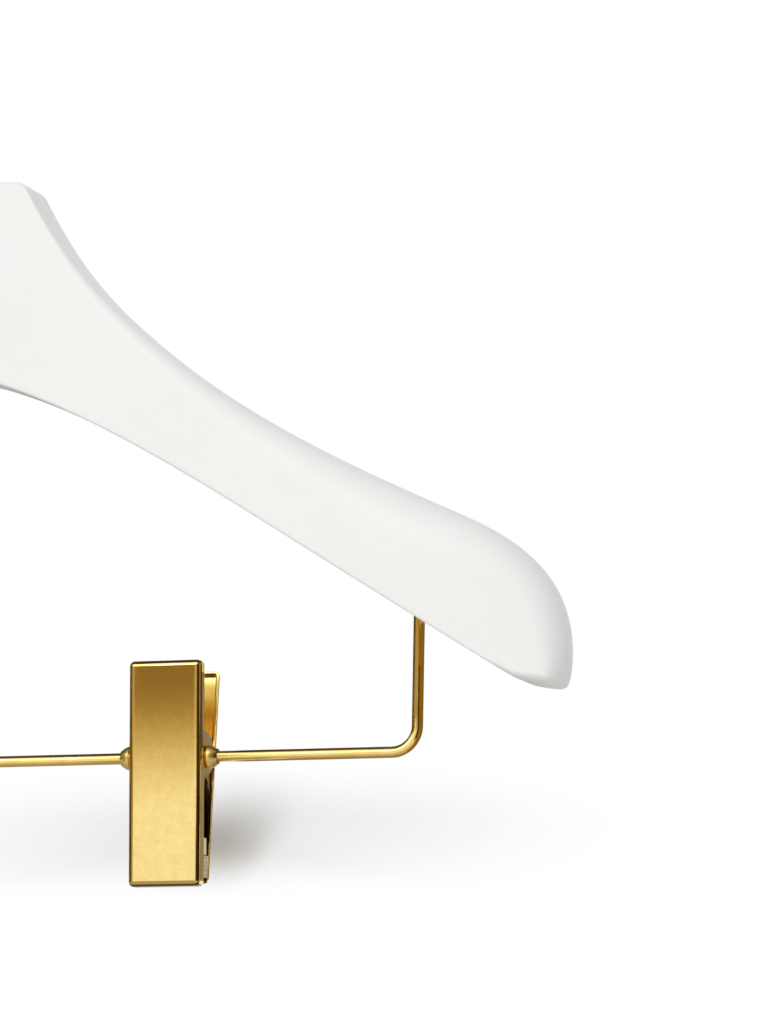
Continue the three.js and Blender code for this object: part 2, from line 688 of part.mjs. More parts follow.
// Least clear distance between parts of a wire that lie more than a few diameters apart along it
function leastGap(points, diameter) {
  const fine = [];
  const stretch = diameter / 4;
  let length = 0;
  for (let i = 0; i + 1 < points.length; i++) {
    const span = points[i].distanceTo(points[i + 1]);
    const parts = Math.ceil(span / stretch);
    for (let k = 0; k < parts; k++) {
      fine.push({ at: length + span * k / parts, point: points[i].clone().lerp(points[i + 1], k / parts) });
    }
    length += span;
  }
  let least = Infinity;
  fine.forEach((a) => fine.forEach((b) => {
    if (b.at - a.at > 4 * diameter) least = Math.min(least, a.point.distanceTo(b.point));
  }));
  return least - diameter;
}

const springLine = springPath();
console.log(`spring: least gap to itself ${leastGap(springLine, SPRING_WIRE).toFixed(2)} mm`);

function piece(name, geometry, color, roughness, metalness) {
  const material = new THREE.MeshStandardMaterial({ color, roughness, metalness });
  const mesh = new THREE.Mesh(geometry, material);
  mesh.name = name;
  return mesh;
}

const painted = (name, geometry) => piece(name, geometry, 0xf1f0ee, 0.55, 0);
const beech = (name, geometry) => piece(name, geometry, 0xc9a57a, 0.8, 0);
const gold = (name, geometry) => piece(name, geometry, 0xd8b467, 0.3, 1);
const sprung = (name, geometry) => piece(name, geometry, 0xb9bcc0, 0.35, 1);
const pale = (name, geometry) => piece(name, geometry, 0xf2ead2, 0.6, 0);

// A clip, about the axis of the bar
function clip(side, outwards) {
  const group = new THREE.Group();
  const back = gold(`${side}_back_jaw`, backJaw());
  back.rotation.x = -radians(BACK_LEAN);
  group.add(
    gold(`${side}_front_jaw`, frontJaw()),
    back,
    gold(`${side}_pivot_tube`, pivotTube(outwards)),
    sprung(`${side}_spring`, wire(springLine, SPRING_WIRE, CURL_SIDES)),
    pale(`${side}_front_pad`, frontPad()),
    pale(`${side}_back_pad`, backPad()));
  return group;
}

const hanger = new THREE.Group();
const arm = rightArm();
hanger.add(painted('right_arm', arm), painted('left_arm', mirrored(arm)));
for (const [name, drop] of Object.entries(dowelDrops)) hanger.add(beech(name, dowel(drop)));
hanger.add(
  gold('hook', hook()),
  gold('hook_bush', hookBush()),
  gold('hook_collar', hookCollar()),
  gold('trouser_bar', trouserBar()));
for (const [side, x] of [['left', -CLIP_X], ['right', CLIP_X]]) {
  const group = clip(side, Math.sign(x));
  group.position.set(x, 0, BAR_Z);
  hanger.add(group);
}

export default hanger;
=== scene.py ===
"""Looks of a wide-shoulder clothes hanger with a clip bar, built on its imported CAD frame.

Sizes are in millimetres and angles in degrees, in the part's own frame. Meshes are made in metres,
and the stage is laid out in metres.
"""
import math

import bmesh
import bpy
import numpy as np
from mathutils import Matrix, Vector

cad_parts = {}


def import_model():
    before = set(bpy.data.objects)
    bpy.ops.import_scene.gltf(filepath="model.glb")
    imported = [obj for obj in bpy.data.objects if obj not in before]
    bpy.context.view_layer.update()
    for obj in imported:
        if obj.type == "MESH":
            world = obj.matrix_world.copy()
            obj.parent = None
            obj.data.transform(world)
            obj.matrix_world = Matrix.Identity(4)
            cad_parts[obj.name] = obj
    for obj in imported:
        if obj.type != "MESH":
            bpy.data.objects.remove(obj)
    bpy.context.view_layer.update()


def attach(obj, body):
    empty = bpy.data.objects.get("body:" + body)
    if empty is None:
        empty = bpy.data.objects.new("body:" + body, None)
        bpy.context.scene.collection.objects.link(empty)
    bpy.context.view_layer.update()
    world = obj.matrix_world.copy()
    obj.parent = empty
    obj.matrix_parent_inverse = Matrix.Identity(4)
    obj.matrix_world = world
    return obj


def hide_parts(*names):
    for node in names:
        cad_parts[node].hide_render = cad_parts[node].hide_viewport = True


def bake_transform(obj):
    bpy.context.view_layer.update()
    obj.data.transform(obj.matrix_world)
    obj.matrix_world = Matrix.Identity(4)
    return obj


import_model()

MM = 0.001
WELD = 1e-7  # metres
CREASE = 32  # a sharper edge is shaded as an edge
TINY = 1e-9  # keeps a length of zero from being divided by

# Clearance
FIT_GAP = 0.3
BLIND_GAP = 0.5

# Hook, bush and collar
HOOK_STANDOFF = 62.5
HOOK_WIRE = 4.0
HOOK_INNER_RADIUS = 16.0
HOOK_BLEND_RADIUS = 12.0
HOOK_TIP_ANGLE = 190.0
HOOK_NOSE = 0.96  # rounding of the tip, as a share of the wire's radius
SHANK_DEPTH = 26.0
BUSH_RADIUS = 4.6
BUSH_LENGTH = 17.0
BUSH_CHAMFER = 0.3
BUSH_MOUTH = 0.4
FLANGE_RADIUS = 7.0
FLANGE_THICKNESS = 1.6
FLANGE_CHAMFER = 0.15
FLANGE_STEPS = 6
COLLAR_LENGTH = 4.0
COLLAR_CHAMFER = 0.4

# Wooden body
NECK_HALF_WIDTH = 34.5
NECK_CORNER = 3.7
NECK_SLOPE = 63.2
NECK_THICKNESS = 22.4
MID_ARM = (85.5, 61.7, 39.0)
HALF_SPAN = 224.3
TIP_DROP = 166.6
TIP_THICKNESS = 26.0
TAPER_RUN = 60.0
SHOULDER_RUN = 36.4
SHOULDER_DROP = 120.1
SHOULDER_SLOPE = 24.8
SHOULDER_THICKNESS = 38.0
HEEL_RUN = 4.2
HEEL_DROP = 178.9
EDGE_END_RUN = 17.3
EDGE_END_DROP = 175.8
EDGE_START = (119.9, 120.3)
ARCH_DROP = 65.1
FLARE_START = 40.0
FLARE_RUN = 140.0
NECK_EDGE = 1.3
SHOULDER_EDGE = 16.0
TIP_EDGE = 8.5
HEEL_EDGE = 3.5
HEEL_SOFT_RUN = 28.0  # from the end of the arm, where its lower edge starts to get rounder
HEEL_SOFT_DEPTH = 3.5
HEEL_SOFT_DRAW = 10.0
LOWER_EDGE = 1.0
EDGE_FROM = 45.0
EDGE_RUN = 123.0
CREST_RUN = 115.0
CREST_FLAT = 0.2
CREST_POWER = 2.2
END_GAP = 0.2

# How far each curve of the outline holds its slope at its ends, as a share of its chord
EASY = 1 / 3
NECK_FULLNESS = 0.41
ROUND_FULLNESS = 0.4
TOE_FULLNESS = 0.25
HEEL_FULLNESS = 0.22
ARCH_FULLNESS = 0.239
ARCH_FOOT_FULLNESS = 0.292

# Sections of the body, each from a point of the lower outline to one of the upper outline
SHOULDER_CURVE = 3  # the run of the upper outline that goes round the shoulder
LOWER_SHARES = (0, 0.095, 0.107, 0.757, 0.985, 1)  # of the lower outline, at the ends of the upper runs
RUN_STEPS = (8, 10, 80, 44, 28)
OUTLINE_STEPS = 120
FOOT_STEPS = 6
CREST_STEPS = 24
FACE_SHARES = (0.03, 0.12, 0.3, 0.5, 0.7, 0.88, 0.97)  # of the face between the two rounded edges
ACROSS_SHARES = (0.06, 0.3, 0.7, 0.94)  # of the narrow strips that close a section
EDGE_ROOM = 0.98  # the most of a section's height that its rounded edges take up
LEAST_CROSSING = 0.3

# Dowels
DOWEL_RADIUS = 4.0
DOWEL_REACH = 20.0
DOWEL_COVER = 6.0
DOWEL_SPACING = 16.0
DOWEL_CHAMFER = 1.0
DOWEL_SIDES = 144
FLUTES = 18
FLUTE_DEPTH = 0.35
FLUTED_FROM = 2.8  # radius

# Trouser bar
NECK_TO_BAR = 199.0
BAR_WIRE = 3.8
BAR_REACH = 171.4
BAR_BEND_RADIUS = 8.8
LEG_LEAN = 1.1
LEG_SEAT = 15.0
BAR_END_EDGE = 0.4

# Clips, about the axis of the bar
CLIP_X = 85.6
SHEET = 0.9
JAW_WIDTH = 25.4
PAN_BEND = 2.0
PAN_CORNER = 1.8
LEAST_CORNER = 0.1
FRONT_REACH = 8.6
FRONT_TOP = 32.3
FRONT_BOTTOM = -44.0
FRONT_RIM = 5.0
BACK_REACH = 10.75
BACK_TOP = 32.2
BACK_BOTTOM = -41.8
BACK_RIM = 2.6
BACK_LEAN = 9.4
EAR_RADIUS = 7.1
EAR_RISE = 1.0
EAR_TOP_FLARE = 1.8
FRONT_EAR_FOOT = 4.9
BACK_EAR_FOOT = 8.3
TUBE_WALL = 0.75
TUBE_PLAY = 0.55
BEAD_RADIUS = 4.15
BEAD_LENGTH = 3.5
BEAD_LIP = 0.35
BEAD_EDGE = 0.4
BEAD_EDGE_STEPS = 5
BEAD_STEPS = 24
BEAD_DOME_START = 4  # the step at which the dome follows on the bead's edge
SHEET_EDGE = 0.18

# Pads
PAD_TOP = -27.5
RIDGE_HEIGHT = 5.6
GRIP_Y = 0.45
PAD_HALF_WIDTH = 12.4
PAD_OVERLAP = 0.5
PAD_EDGE = 0.35
PAD_EDGE_STEPS = 3
PAD_STEP = 0.05  # between the ends of a pad's two blocks
RIB_PITCH = 1.4
RIB_DEPTH = 0.3
RIB_PROFILE = ((0.15, 0), (0.35, 1), (0.65, 1), (0.85, 0))  # shares of a rib's pitch and depth

# Springs
SPRING_WIRE = 1.4
SPRING_TURNS = 5
SPRING_PITCH = 2.3
SPRING_PLAY = 0.5
SPRING_LEG_HEIGHT = 20.0
SPRING_END_EDGE = 0.3

# Steps of the wires and bores
BORE_SIDES = 48
WIRE_SIDES = 32
SPRING_SIDES = 16
STEM_STEPS = 20
BAR_STEPS = 60
LEG_STEPS = 14
COIL_STEPS = 40
NOSE_ANGLES = (15, 30, 45, 60, 75, 85)
NEAR_PARALLEL = 0.95

NECK_TOP = -HOOK_STANDOFF
BAR_Z = NECK_TOP - NECK_TO_BAR
TUBE_RADIUS = BAR_WIRE / 2 + FIT_GAP + TUBE_WALL
LEAN_SINE = math.sin(math.radians(BACK_LEAN))
LEAN_COSINE = math.cos(math.radians(BACK_LEAN))

# Camera of the photograph
CAMERA_PLACE = (0.62310, -1.70452, -0.42234)  # metres
CAMERA_END = 100.0  # metres
CAMERA_TURN = 15.2
CAMERA_PITCH = 7.8
FOCAL_PIXELS = 5300.0
LONG_SIDE_PIXELS = 1024.0
SENSOR = 36.0


def lerp(a, b, t):
    return a + (b - a) * t


def clamp01(x):
    return np.clip(x, 0.0, 1.0)


def smoothstep(x, low, high):
    t = clamp01((x - low) / (high - low))
    return t * t * (3 - 2 * t)


def unit(vector):
    return vector / np.linalg.norm(vector)


def quarter_round(steps):
    """A quarter circle of radius 1, as the distances of its points from the two lines that it joins."""
    angles = [math.pi / 2 * k / steps for k in range(steps + 1)]
    return [(1 - math.sin(angle), 1 - math.cos(angle)) for angle in angles]


# Meshes

def finish_mesh(mesh):
    work = bmesh.new()
    work.from_mesh(mesh)
    bmesh.ops.remove_doubles(work, verts=work.verts, dist=WELD)
    bmesh.ops.recalc_face_normals(work, faces=work.faces)
    work.to_mesh(mesh)
    work.free()
    mesh.shade_smooth()
    mesh.set_sharp_from_angle(angle=math.radians(CREASE))


def linked(name, data):
    """A new object in the scene."""
    made = bpy.data.objects.new(name, data)
    bpy.context.scene.collection.objects.link(made)
    return made


def make_object(name, shells, along=None):
    """One object from several closed shells of points and faces."""
    points, faces, base = [], [], 0
    for shell_points, shell_faces in shells:
        points.append(shell_points)
        faces += [tuple(base + i for i in face) for face in shell_faces]
        base += len(shell_points)
    mesh = bpy.data.meshes.new(name)
    mesh.from_pydata((np.concatenate(points) * MM).tolist(), [], faces)
    if along is not None:
        attribute = mesh.attributes.new("along", "FLOAT", "POINT")
        attribute.data.foreach_set("value", np.asarray(along, np.float32) * MM)
    finish_mesh(mesh)
    return linked(name, mesh)


def numbered(loops, count, start=0):
    """Point numbers of several loops of equally many points."""
    return [range(start + k * count, start + (k + 1) * count) for k in range(loops)]


def bands(loops):
    """Faces between each closed loop of point numbers and the next."""
    faces = []
    for below, above in zip(loops, loops[1:]):
        for i in range(len(below)):
            j = (i + 1) % len(below)
            faces.append((below[i], below[j], above[j], above[i]))
    return faces


def loft(rings):
    """A closed shell through rings of equally many points, capped at both ends."""
    loops = numbered(len(rings), len(rings[0]))
    faces = bands(loops) + [tuple(loops[0]), tuple(loops[-1])]
    return np.concatenate(rings), faces


def turned(profile, sides=64, flutes=0, depth=0.0):
    """A closed ring about Z from a closed profile of radius and height, with optional flutes."""
    points = []
    for s in range(sides):
        angle = 2 * math.pi * s / sides
        dent = depth * (0.5 - 0.5 * math.cos(flutes * angle)) if flutes else 0.0
        for radius, z in profile:
            r = radius - dent if radius > FLUTED_FROM else radius
            points.append((r * math.cos(angle), r * math.sin(angle), z))
    loops = numbered(sides, len(profile))
    return np.array(points), bands(loops + loops[:1])


def rounded(outline, radius, steps):
    """A polygon with its corners rounded."""
    outline = np.asarray(outline, float)
    made = []
    for i, here in enumerate(outline):
        back, ahead = outline[i - 1] - here, outline[(i + 1) % len(outline)] - here
        reach = min(radius, np.linalg.norm(back) / 2, np.linalg.norm(ahead) / 2)
        for t in np.linspace(0, 1, steps + 1):
            made.append(here + reach * (unit(back) * (1 - t) ** 2 + unit(ahead) * t ** 2))
    return np.array(made)


def outward(outline):
    """Unit normals of a closed polygon that runs counter-clockwise, by the mean of its edges."""
    ahead = np.roll(outline, -1, 0) - outline
    ahead /= np.maximum(np.linalg.norm(ahead, axis=1, keepdims=True), TINY)
    mean = ahead + np.roll(ahead, 1, 0)
    mean /= np.maximum(np.linalg.norm(mean, axis=1, keepdims=True), TINY)
    return np.stack([mean[:, 1], -mean[:, 0]], 1)


def carried(outline, start, end, edge, steps=4):
    """A YZ outline carried along X, with rounded edges."""
    outline = np.asarray(outline, float)
    area = np.sum(outline[:, 0] * np.roll(outline[:, 1], -1) - np.roll(outline[:, 0], -1) * outline[:, 1])
    if area < 0:
        outline = outline[::-1]
    normal = outward(outline)
    stops = [(start + edge * ahead, edge * inset) for ahead, inset in quarter_round(steps)][::-1]
    stops += [(start + end - x, inset) for x, inset in stops[::-1]]
    rings = []
    for x, inset in stops:
        flat = outline - normal * inset
        rings.append(np.column_stack([np.full(len(flat), x), flat]))
    return loft(rings)


def tube(points, radius, sides, nose=0.0, heel=0.0):
    """A round wire through points, its ends rounded by a radius. Gives the shell and the length along it."""
    points = np.asarray(points, float)
    stops = [(p, radius) for p in points]
    for rounding, at, before, order in ((nose, -1, -2, 1), (heel, 0, 1, -1)):
        if rounding:
            way = unit(points[at] - points[before])
            end = []
            for angle in np.radians(NOSE_ANGLES):
                drawn_in = rounding * (1 - math.cos(angle))
                end.append((points[at] + way * rounding * math.sin(angle), radius - drawn_in))
            stops = stops + end if order > 0 else end[::-1] + stops
    places = np.array([p for p, _ in stops])
    across = np.array((0.0, 1.0, 0.0))
    rings, lengths, length = [], [], 0.0
    turns = 2 * math.pi * np.arange(sides) / sides
    for i, (place, r) in enumerate(stops):
        way = unit(places[min(i + 1, len(places) - 1)] - places[max(i - 1, 0)])
        if abs(across @ way) > NEAR_PARALLEL:
            across = np.array((1.0, 0.0, 0.0))
        across = unit(across - way * (across @ way))
        up = np.cross(way, across)
        rings.append(place + r * (np.outer(np.cos(turns), across) + np.outer(np.sin(turns), up)))
        length += np.linalg.norm(place - places[max(i - 1, 0)])
        lengths += [length] * sides
    return loft(rings), lengths


def arc(x, z, radius, start, end, step=2.0):
    """Points on an arc in the XZ plane, in degrees from +X towards +Z."""
    angles = np.radians(np.linspace(start, end, max(3, int(abs(end - start) / step) + 2)))
    return np.column_stack([x + radius * np.cos(angles), np.zeros(len(angles)), z + radius * np.sin(angles)])


def drilled(part, *bores):
    """The object with round holes, each from one point to another with a radius."""
    cutters = []
    for start, end, radius in bores:
        axis = np.linspace(start, end, 3)
        cutters.append(make_object("bore", [tube(axis, radius, BORE_SIDES)[0]]))
        modifier = part.modifiers.new("bore", "BOOLEAN")
        modifier.object, modifier.operation, modifier.solver = cutters[-1], "DIFFERENCE", "EXACT"
    bpy.context.view_layer.update()
    mesh = bpy.data.meshes.new_from_object(part.evaluated_get(bpy.context.evaluated_depsgraph_get()))
    part.modifiers.clear()
    part.data = mesh
    for cutter in cutters:
        bpy.data.objects.remove(cutter)
    finish_mesh(mesh)
    return part


# Wooden body

def bezier(start, end, leave=EASY, arrive=None, count=160):
    """The edge between two places, each an x, a drop below the neck and a slope in degrees below level."""
    arrive = leave if arrive is None else arrive
    a = np.array((start[0], NECK_TOP - start[1]))
    d = np.array((end[0], NECK_TOP - end[1]))
    reach = np.linalg.norm(d - a)
    heading = [np.array((math.cos(math.radians(p[2])), -math.sin(math.radians(p[2])))) for p in (start, end)]
    b, c = a + heading[0] * reach * leave, d - heading[1] * reach * arrive
    t = np.linspace(0, 1, count)[:, None]
    return a * (1 - t) ** 3 + 3 * b * t * (1 - t) ** 2 + 3 * c * t * t * (1 - t) + d * t ** 3


class Path:
    """Points along a chain of curves, by share of its length."""

    def __init__(self, *curves):
        self.points = np.concatenate([curves[0], *[curve[1:] for curve in curves[1:]]])
        steps = np.linalg.norm(np.diff(self.points, axis=0), axis=1)
        self.reach = np.concatenate([[0], np.cumsum(steps)])

    def at(self, share):
        where = np.asarray(share) * self.reach[-1]
        return np.stack([np.interp(where, self.reach, self.points[:, k]) for k in (0, 1)], -1)


EDGE_END = (HALF_SPAN - EDGE_END_RUN, EDGE_END_DROP)
EDGE_SLOPE = math.degrees(math.atan2(EDGE_END[1] - EDGE_START[1], EDGE_END[0] - EDGE_START[0]))


def upper_runs():
    slope = math.radians(NECK_SLOPE)
    middle = (0, 0, 0)
    flat_end = (NECK_HALF_WIDTH - NECK_CORNER, 0, 0)
    side = (NECK_HALF_WIDTH + NECK_CORNER * math.cos(slope), NECK_CORNER * math.sin(slope), NECK_SLOPE)
    shoulder = (HALF_SPAN - SHOULDER_RUN, SHOULDER_DROP, SHOULDER_SLOPE)
    tip = (HALF_SPAN, TIP_DROP, 90)
    heel = (HALF_SPAN - HEEL_RUN, HEEL_DROP, 180)
    return [
        Path(bezier(middle, flat_end)),
        Path(bezier(flat_end, side, ROUND_FULLNESS)),
        Path(bezier(side, MID_ARM, NECK_FULLNESS, EASY), bezier(MID_ARM, shoulder)),
        Path(bezier(shoulder, tip, ROUND_FULLNESS)),
        Path(bezier(tip, heel, TOE_FULLNESS)),
    ]


def lower_run():
    start = (*EDGE_START, EDGE_SLOPE)
    end = (*EDGE_END, EDGE_SLOPE)
    heel = (HALF_SPAN - HEEL_RUN, HEEL_DROP, 0)
    arch = bezier((0, ARCH_DROP, 0), start, ARCH_FULLNESS, ARCH_FOOT_FULLNESS)
    return Path(arch, bezier(start, end), bezier(end, heel, HEEL_FULLNESS))


def half_thickness(x):
    flare = smoothstep(x, FLARE_START, FLARE_START + FLARE_RUN)
    taper = clamp01((x - HALF_SPAN + TAPER_RUN) / TAPER_RUN) ** 2
    return lerp(NECK_THICKNESS, lerp(SHOULDER_THICKNESS, TIP_THICKNESS, taper), flare) / 2


class Edge:
    """An edge of the front view, with the depth of its rounding and how far that draws in the faces."""

    def __init__(self, places, depths, draws):
        self.starts, self.ways = places[:-1], np.diff(places, axis=0)
        self.squares = np.maximum(np.sum(self.ways ** 2, axis=1), TINY)
        self.depths, self.draws = depths, draws

    def nearest(self, point):
        """Distance to the edge, its rounding there and its direction."""
        share = clamp01(np.sum((point - self.starts) * self.ways, axis=1) / self.squares)
        distance = np.linalg.norm(self.starts + self.ways * share[:, None] - point, axis=1)
        i = int(np.argmin(distance))
        depth, draw = (lerp(values[i], values[i + 1], share[i]) for values in (self.depths, self.draws))
        return distance[i], depth, draw, self.ways[i] / math.sqrt(self.squares[i])

    def half_depth(self, point):
        """Half the thickness that this edge leaves at a point."""
        distance, depth, draw, _ = self.nearest(point)
        bulge = (1 - (1 - clamp01(distance / depth)) ** CREST_POWER) ** (1 / CREST_POWER)
        return half_thickness(point[0]) - draw * (1 - bulge)

    def spread(self, point, way):
        """Length of the rounding along a section, which crosses the edge at a slant."""
        _, depth, _, along = self.nearest(point)
        return depth / max(abs(along[0] * way[1] - along[1] * way[0]), LEAST_CROSSING)


def upper_edge():
    places, depths = [], []
    share = np.linspace(0, 1, OUTLINE_STEPS)
    for i, path in enumerate(upper_runs()):
        places.append(path.at(share))
        growth = clamp01((places[-1][:, 0] - EDGE_FROM) / EDGE_RUN)
        if i == SHOULDER_CURVE:
            depths.append(lerp(SHOULDER_EDGE, TIP_EDGE, share))
        elif i > SHOULDER_CURVE:
            depths.append(lerp(TIP_EDGE, HEEL_EDGE, share))
        else:
            depths.append(lerp(NECK_EDGE, SHOULDER_EDGE, growth))
    places = np.concatenate(places)
    full = lerp(NECK_EDGE, SHOULDER_THICKNESS / 2, clamp01((places[:, 0] - EDGE_FROM) / CREST_RUN))
    return Edge(places, np.concatenate(depths), np.minimum(full, half_thickness(places[:, 0]) - CREST_FLAT))


def lower_edge():
    places = lower_run().at(np.linspace(0, 1, 2 * OUTLINE_STEPS))
    heel = smoothstep(places[:, 0], HALF_SPAN - HEEL_SOFT_RUN, HALF_SPAN - HEEL_RUN)
    return Edge(places, lerp(LOWER_EDGE, HEEL_SOFT_DEPTH, heel), lerp(LOWER_EDGE, HEEL_SOFT_DRAW, heel))


def body_section(edges, low, high):
    """One closed section of the body between a point of its lower and one of its upper edge."""
    height = np.linalg.norm(high - low)
    way = (high - low) / height
    foot, crest = (edge.spread(point, way) for edge, point in zip(edges, (low, high)))
    room = min(1.0, EDGE_ROOM * height / (foot + crest))
    foot, crest = foot * room, crest * room
    rises = [foot * rise for _, rise in quarter_round(FOOT_STEPS)]
    rises += [lerp(foot, height - crest, t) for t in FACE_SHARES]
    rises += [height - crest * fall for fall, _ in quarter_round(CREST_STEPS)]
    places = [low + way * rise for rise in rises]
    profile = [(place, max(CREST_FLAT, min(edge.half_depth(place) for edge in edges))) for place in places]
    top, bottom = profile[-1], profile[0]
    ring = [(place, -y) for place, y in profile]
    ring += [(top[0], lerp(-top[1], top[1], t)) for t in ACROSS_SHARES]
    ring += profile[::-1]
    ring += [(bottom[0], lerp(bottom[1], -bottom[1], t)) for t in ACROSS_SHARES]
    return [(place[0], y, place[1]) for place, y in ring]


def arm_rings():
    edges, lower, runs, rings = (lower_edge(), upper_edge()), lower_run(), upper_runs(), []
    for i, (path, steps) in enumerate(zip(runs, RUN_STEPS)):
        end = 1 - END_GAP / path.reach[-1] if i == len(runs) - 1 else 1.0
        for k in range(0 if i == 0 else 1, steps + 1):
            share = end * k / steps
            below = lerp(LOWER_SHARES[i], LOWER_SHARES[i + 1], share)
            rings.append(body_section(edges, lower.at(below), path.at(share)))
    return np.array(rings)


def dowel_drops():
    upper = SHANK_DEPTH + BLIND_GAP + DOWEL_COVER + DOWEL_RADIUS
    return {"upper_dowel": upper, "lower_dowel": upper + DOWEL_SPACING}


def leg_ends(side):
    """The bar's leg, from the corner at the bar to its end in the arm."""
    entry = NECK_TOP - EDGE_START[1] - (BAR_REACH - EDGE_START[0]) * math.tan(math.radians(EDGE_SLOPE))
    top = entry + LEG_SEAT
    reach = BAR_REACH + (top - BAR_Z) * math.tan(math.radians(LEG_LEAN))
    return np.array((side * BAR_REACH, 0, BAR_Z)), np.array((side * reach, 0, top))


RIGHT_RINGS = arm_rings()


def arm(name, side):
    made = make_object(name, [loft(RIGHT_RINGS * (side, 1, 1))])
    bottom, top = leg_ends(side)
    way = unit(top - bottom)
    bores = [
        ((0, 0, NECK_TOP - SHANK_DEPTH - BLIND_GAP), (0, 0, NECK_TOP + SHANK_DEPTH), BUSH_RADIUS + FIT_GAP),
        (bottom, top + way * BLIND_GAP, BAR_WIRE / 2 + FIT_GAP),
    ]
    reach = DOWEL_REACH + BLIND_GAP
    for drop in dowel_drops().values():
        z = NECK_TOP - drop
        bores.append(((-reach, 0, z), (reach, 0, z), DOWEL_RADIUS + FIT_GAP))
    return drilled(made, *bores)


def dowel(name, drop):
    end, neck = DOWEL_REACH, DOWEL_RADIUS - DOWEL_CHAMFER / 2
    profile = [(0.0, -end), (neck, -end), (DOWEL_RADIUS, DOWEL_CHAMFER - end)]
    profile += [(DOWEL_RADIUS, end - DOWEL_CHAMFER), (neck, end), (0.0, end)]
    points, faces = turned(profile, DOWEL_SIDES, FLUTES, FLUTE_DEPTH)
    points = points[:, (2, 1, 0)] * (1, 1, -1) + (0, 0, NECK_TOP - drop)
    return make_object(name, [(points, faces)])


# Hook and bar

def hook(name):
    radius = HOOK_INNER_RADIUS + HOOK_WIRE / 2
    crook_z = -HOOK_INNER_RADIUS
    rise = math.sqrt(radius ** 2 + 2 * radius * HOOK_BLEND_RADIUS)
    stem_top = crook_z - rise
    meet = math.degrees(math.atan2(rise, -HOOK_BLEND_RADIUS))
    shank_end = NECK_TOP - SHANK_DEPTH
    stem = np.linspace((0, 0, shank_end), (0, 0, stem_top), STEM_STEPS)
    blend = arc(HOOK_BLEND_RADIUS, stem_top, HOOK_BLEND_RADIUS, 180, meet)
    crook = arc(0, crook_z, radius, meet - 180, HOOK_TIP_ANGLE)
    points = np.concatenate([stem, blend[1:], crook[1:]])
    shell, along = tube(points, HOOK_WIRE / 2, WIRE_SIDES, nose=HOOK_WIRE / 2 * HOOK_NOSE)
    return make_object(name, [shell], along)


def bush(name):
    bore = HOOK_WIRE / 2 + FIT_GAP
    foot, top = NECK_TOP - BUSH_LENGTH, NECK_TOP + FLANGE_THICKNESS
    shoulder = FLANGE_THICKNESS / 2
    profile = [(bore, foot), (BUSH_RADIUS - BUSH_CHAMFER, foot), (BUSH_RADIUS, foot + BUSH_CHAMFER)]
    profile += [(BUSH_RADIUS, NECK_TOP), (FLANGE_RADIUS - FLANGE_CHAMFER, NECK_TOP)]
    profile.append((FLANGE_RADIUS, NECK_TOP + FLANGE_CHAMFER))
    for fall, inset in quarter_round(FLANGE_STEPS):
        profile.append((FLANGE_RADIUS - shoulder * inset, top - shoulder * fall))
    profile += [(bore + BUSH_MOUTH, top), (bore, top - BUSH_CHAMFER)]
    return make_object(name, [turned(profile)])


def collar(name):
    top = NECK_TOP - BUSH_LENGTH - FIT_GAP
    foot = top - COLLAR_LENGTH
    bore, end_radius = HOOK_WIRE / 2 + FIT_GAP, BUSH_RADIUS - COLLAR_CHAMFER
    profile = [(bore, foot), (end_radius, foot), (BUSH_RADIUS, foot + COLLAR_CHAMFER)]
    profile += [(BUSH_RADIUS, top - COLLAR_CHAMFER), (end_radius, top), (bore, top)]
    return make_object(name, [turned(profile)])


def trouser_bar(name):
    turn = 90 - LEG_LEAN
    tangent = BAR_BEND_RADIUS * math.tan(math.radians(turn) / 2)
    corner = arc(BAR_REACH - tangent, BAR_Z + BAR_BEND_RADIUS, BAR_BEND_RADIUS, -90, turn - 90)
    leg = np.linspace(corner[-1], leg_ends(1)[1], LEG_STEPS)[1:]
    right = np.concatenate([corner, leg])
    left = right * (-1, 1, 1)
    straight = np.linspace(left[0], right[0], BAR_STEPS)[1:-1]
    points = np.concatenate([left[::-1], straight, right])
    shell, along = tube(points, BAR_WIRE / 2, WIRE_SIDES, BAR_END_EDGE, BAR_END_EDGE)
    return make_object(name, [shell], along)


# Clips

def ear_edge(root, lower_flare, flare_steps=12, round_steps=40):
    """Edge of a jaw's ear in Y and Z, from its upper root round its end to its lower root."""
    top, bottom = EAR_RISE + EAR_RADIUS, EAR_RISE - EAR_RADIUS
    shares = np.linspace(0, 1, flare_steps)
    edge = [(root * (1 - t * t), top + EAR_TOP_FLARE * (1 - t) ** 2) for t in shares]
    for angle in np.radians(np.linspace(90, -90, round_steps))[1:-1]:
        edge.append((EAR_RADIUS * math.cos(angle), EAR_RISE + EAR_RADIUS * math.sin(angle)))
    return edge + [(root * (1 - t * t), bottom - lower_flare * (1 - t) ** 2) for t in shares[::-1]]


def pan_rows(low, high, rim, ear, corner_steps=8):
    """Rows up the right edge of a pan, each a height, a normal in X and Z and the depth of the rim there.

    The rows of a corner give no height, because it depends on the inset.
    """
    def corner(angles):
        return [(math.nan, math.cos(angle), math.sin(angle), rim) for angle in np.radians(angles)]

    def straight(start, end, count=14):
        return [(z, 1.0, 0.0, rim) for z in np.linspace(start, end, count)[1:-1]]

    middle = [(z, 1.0, 0.0, y + FRONT_REACH) for y, z in reversed(ear)] if ear else [(0.0, 1.0, 0.0, rim)]
    rows = corner(np.linspace(-90, 0, corner_steps + 1))
    rows += straight(low + PAN_BEND, middle[0][0]) + middle + straight(middle[-1][0], high - PAN_BEND)
    return rows + corner(np.linspace(0, 90, corner_steps + 1))


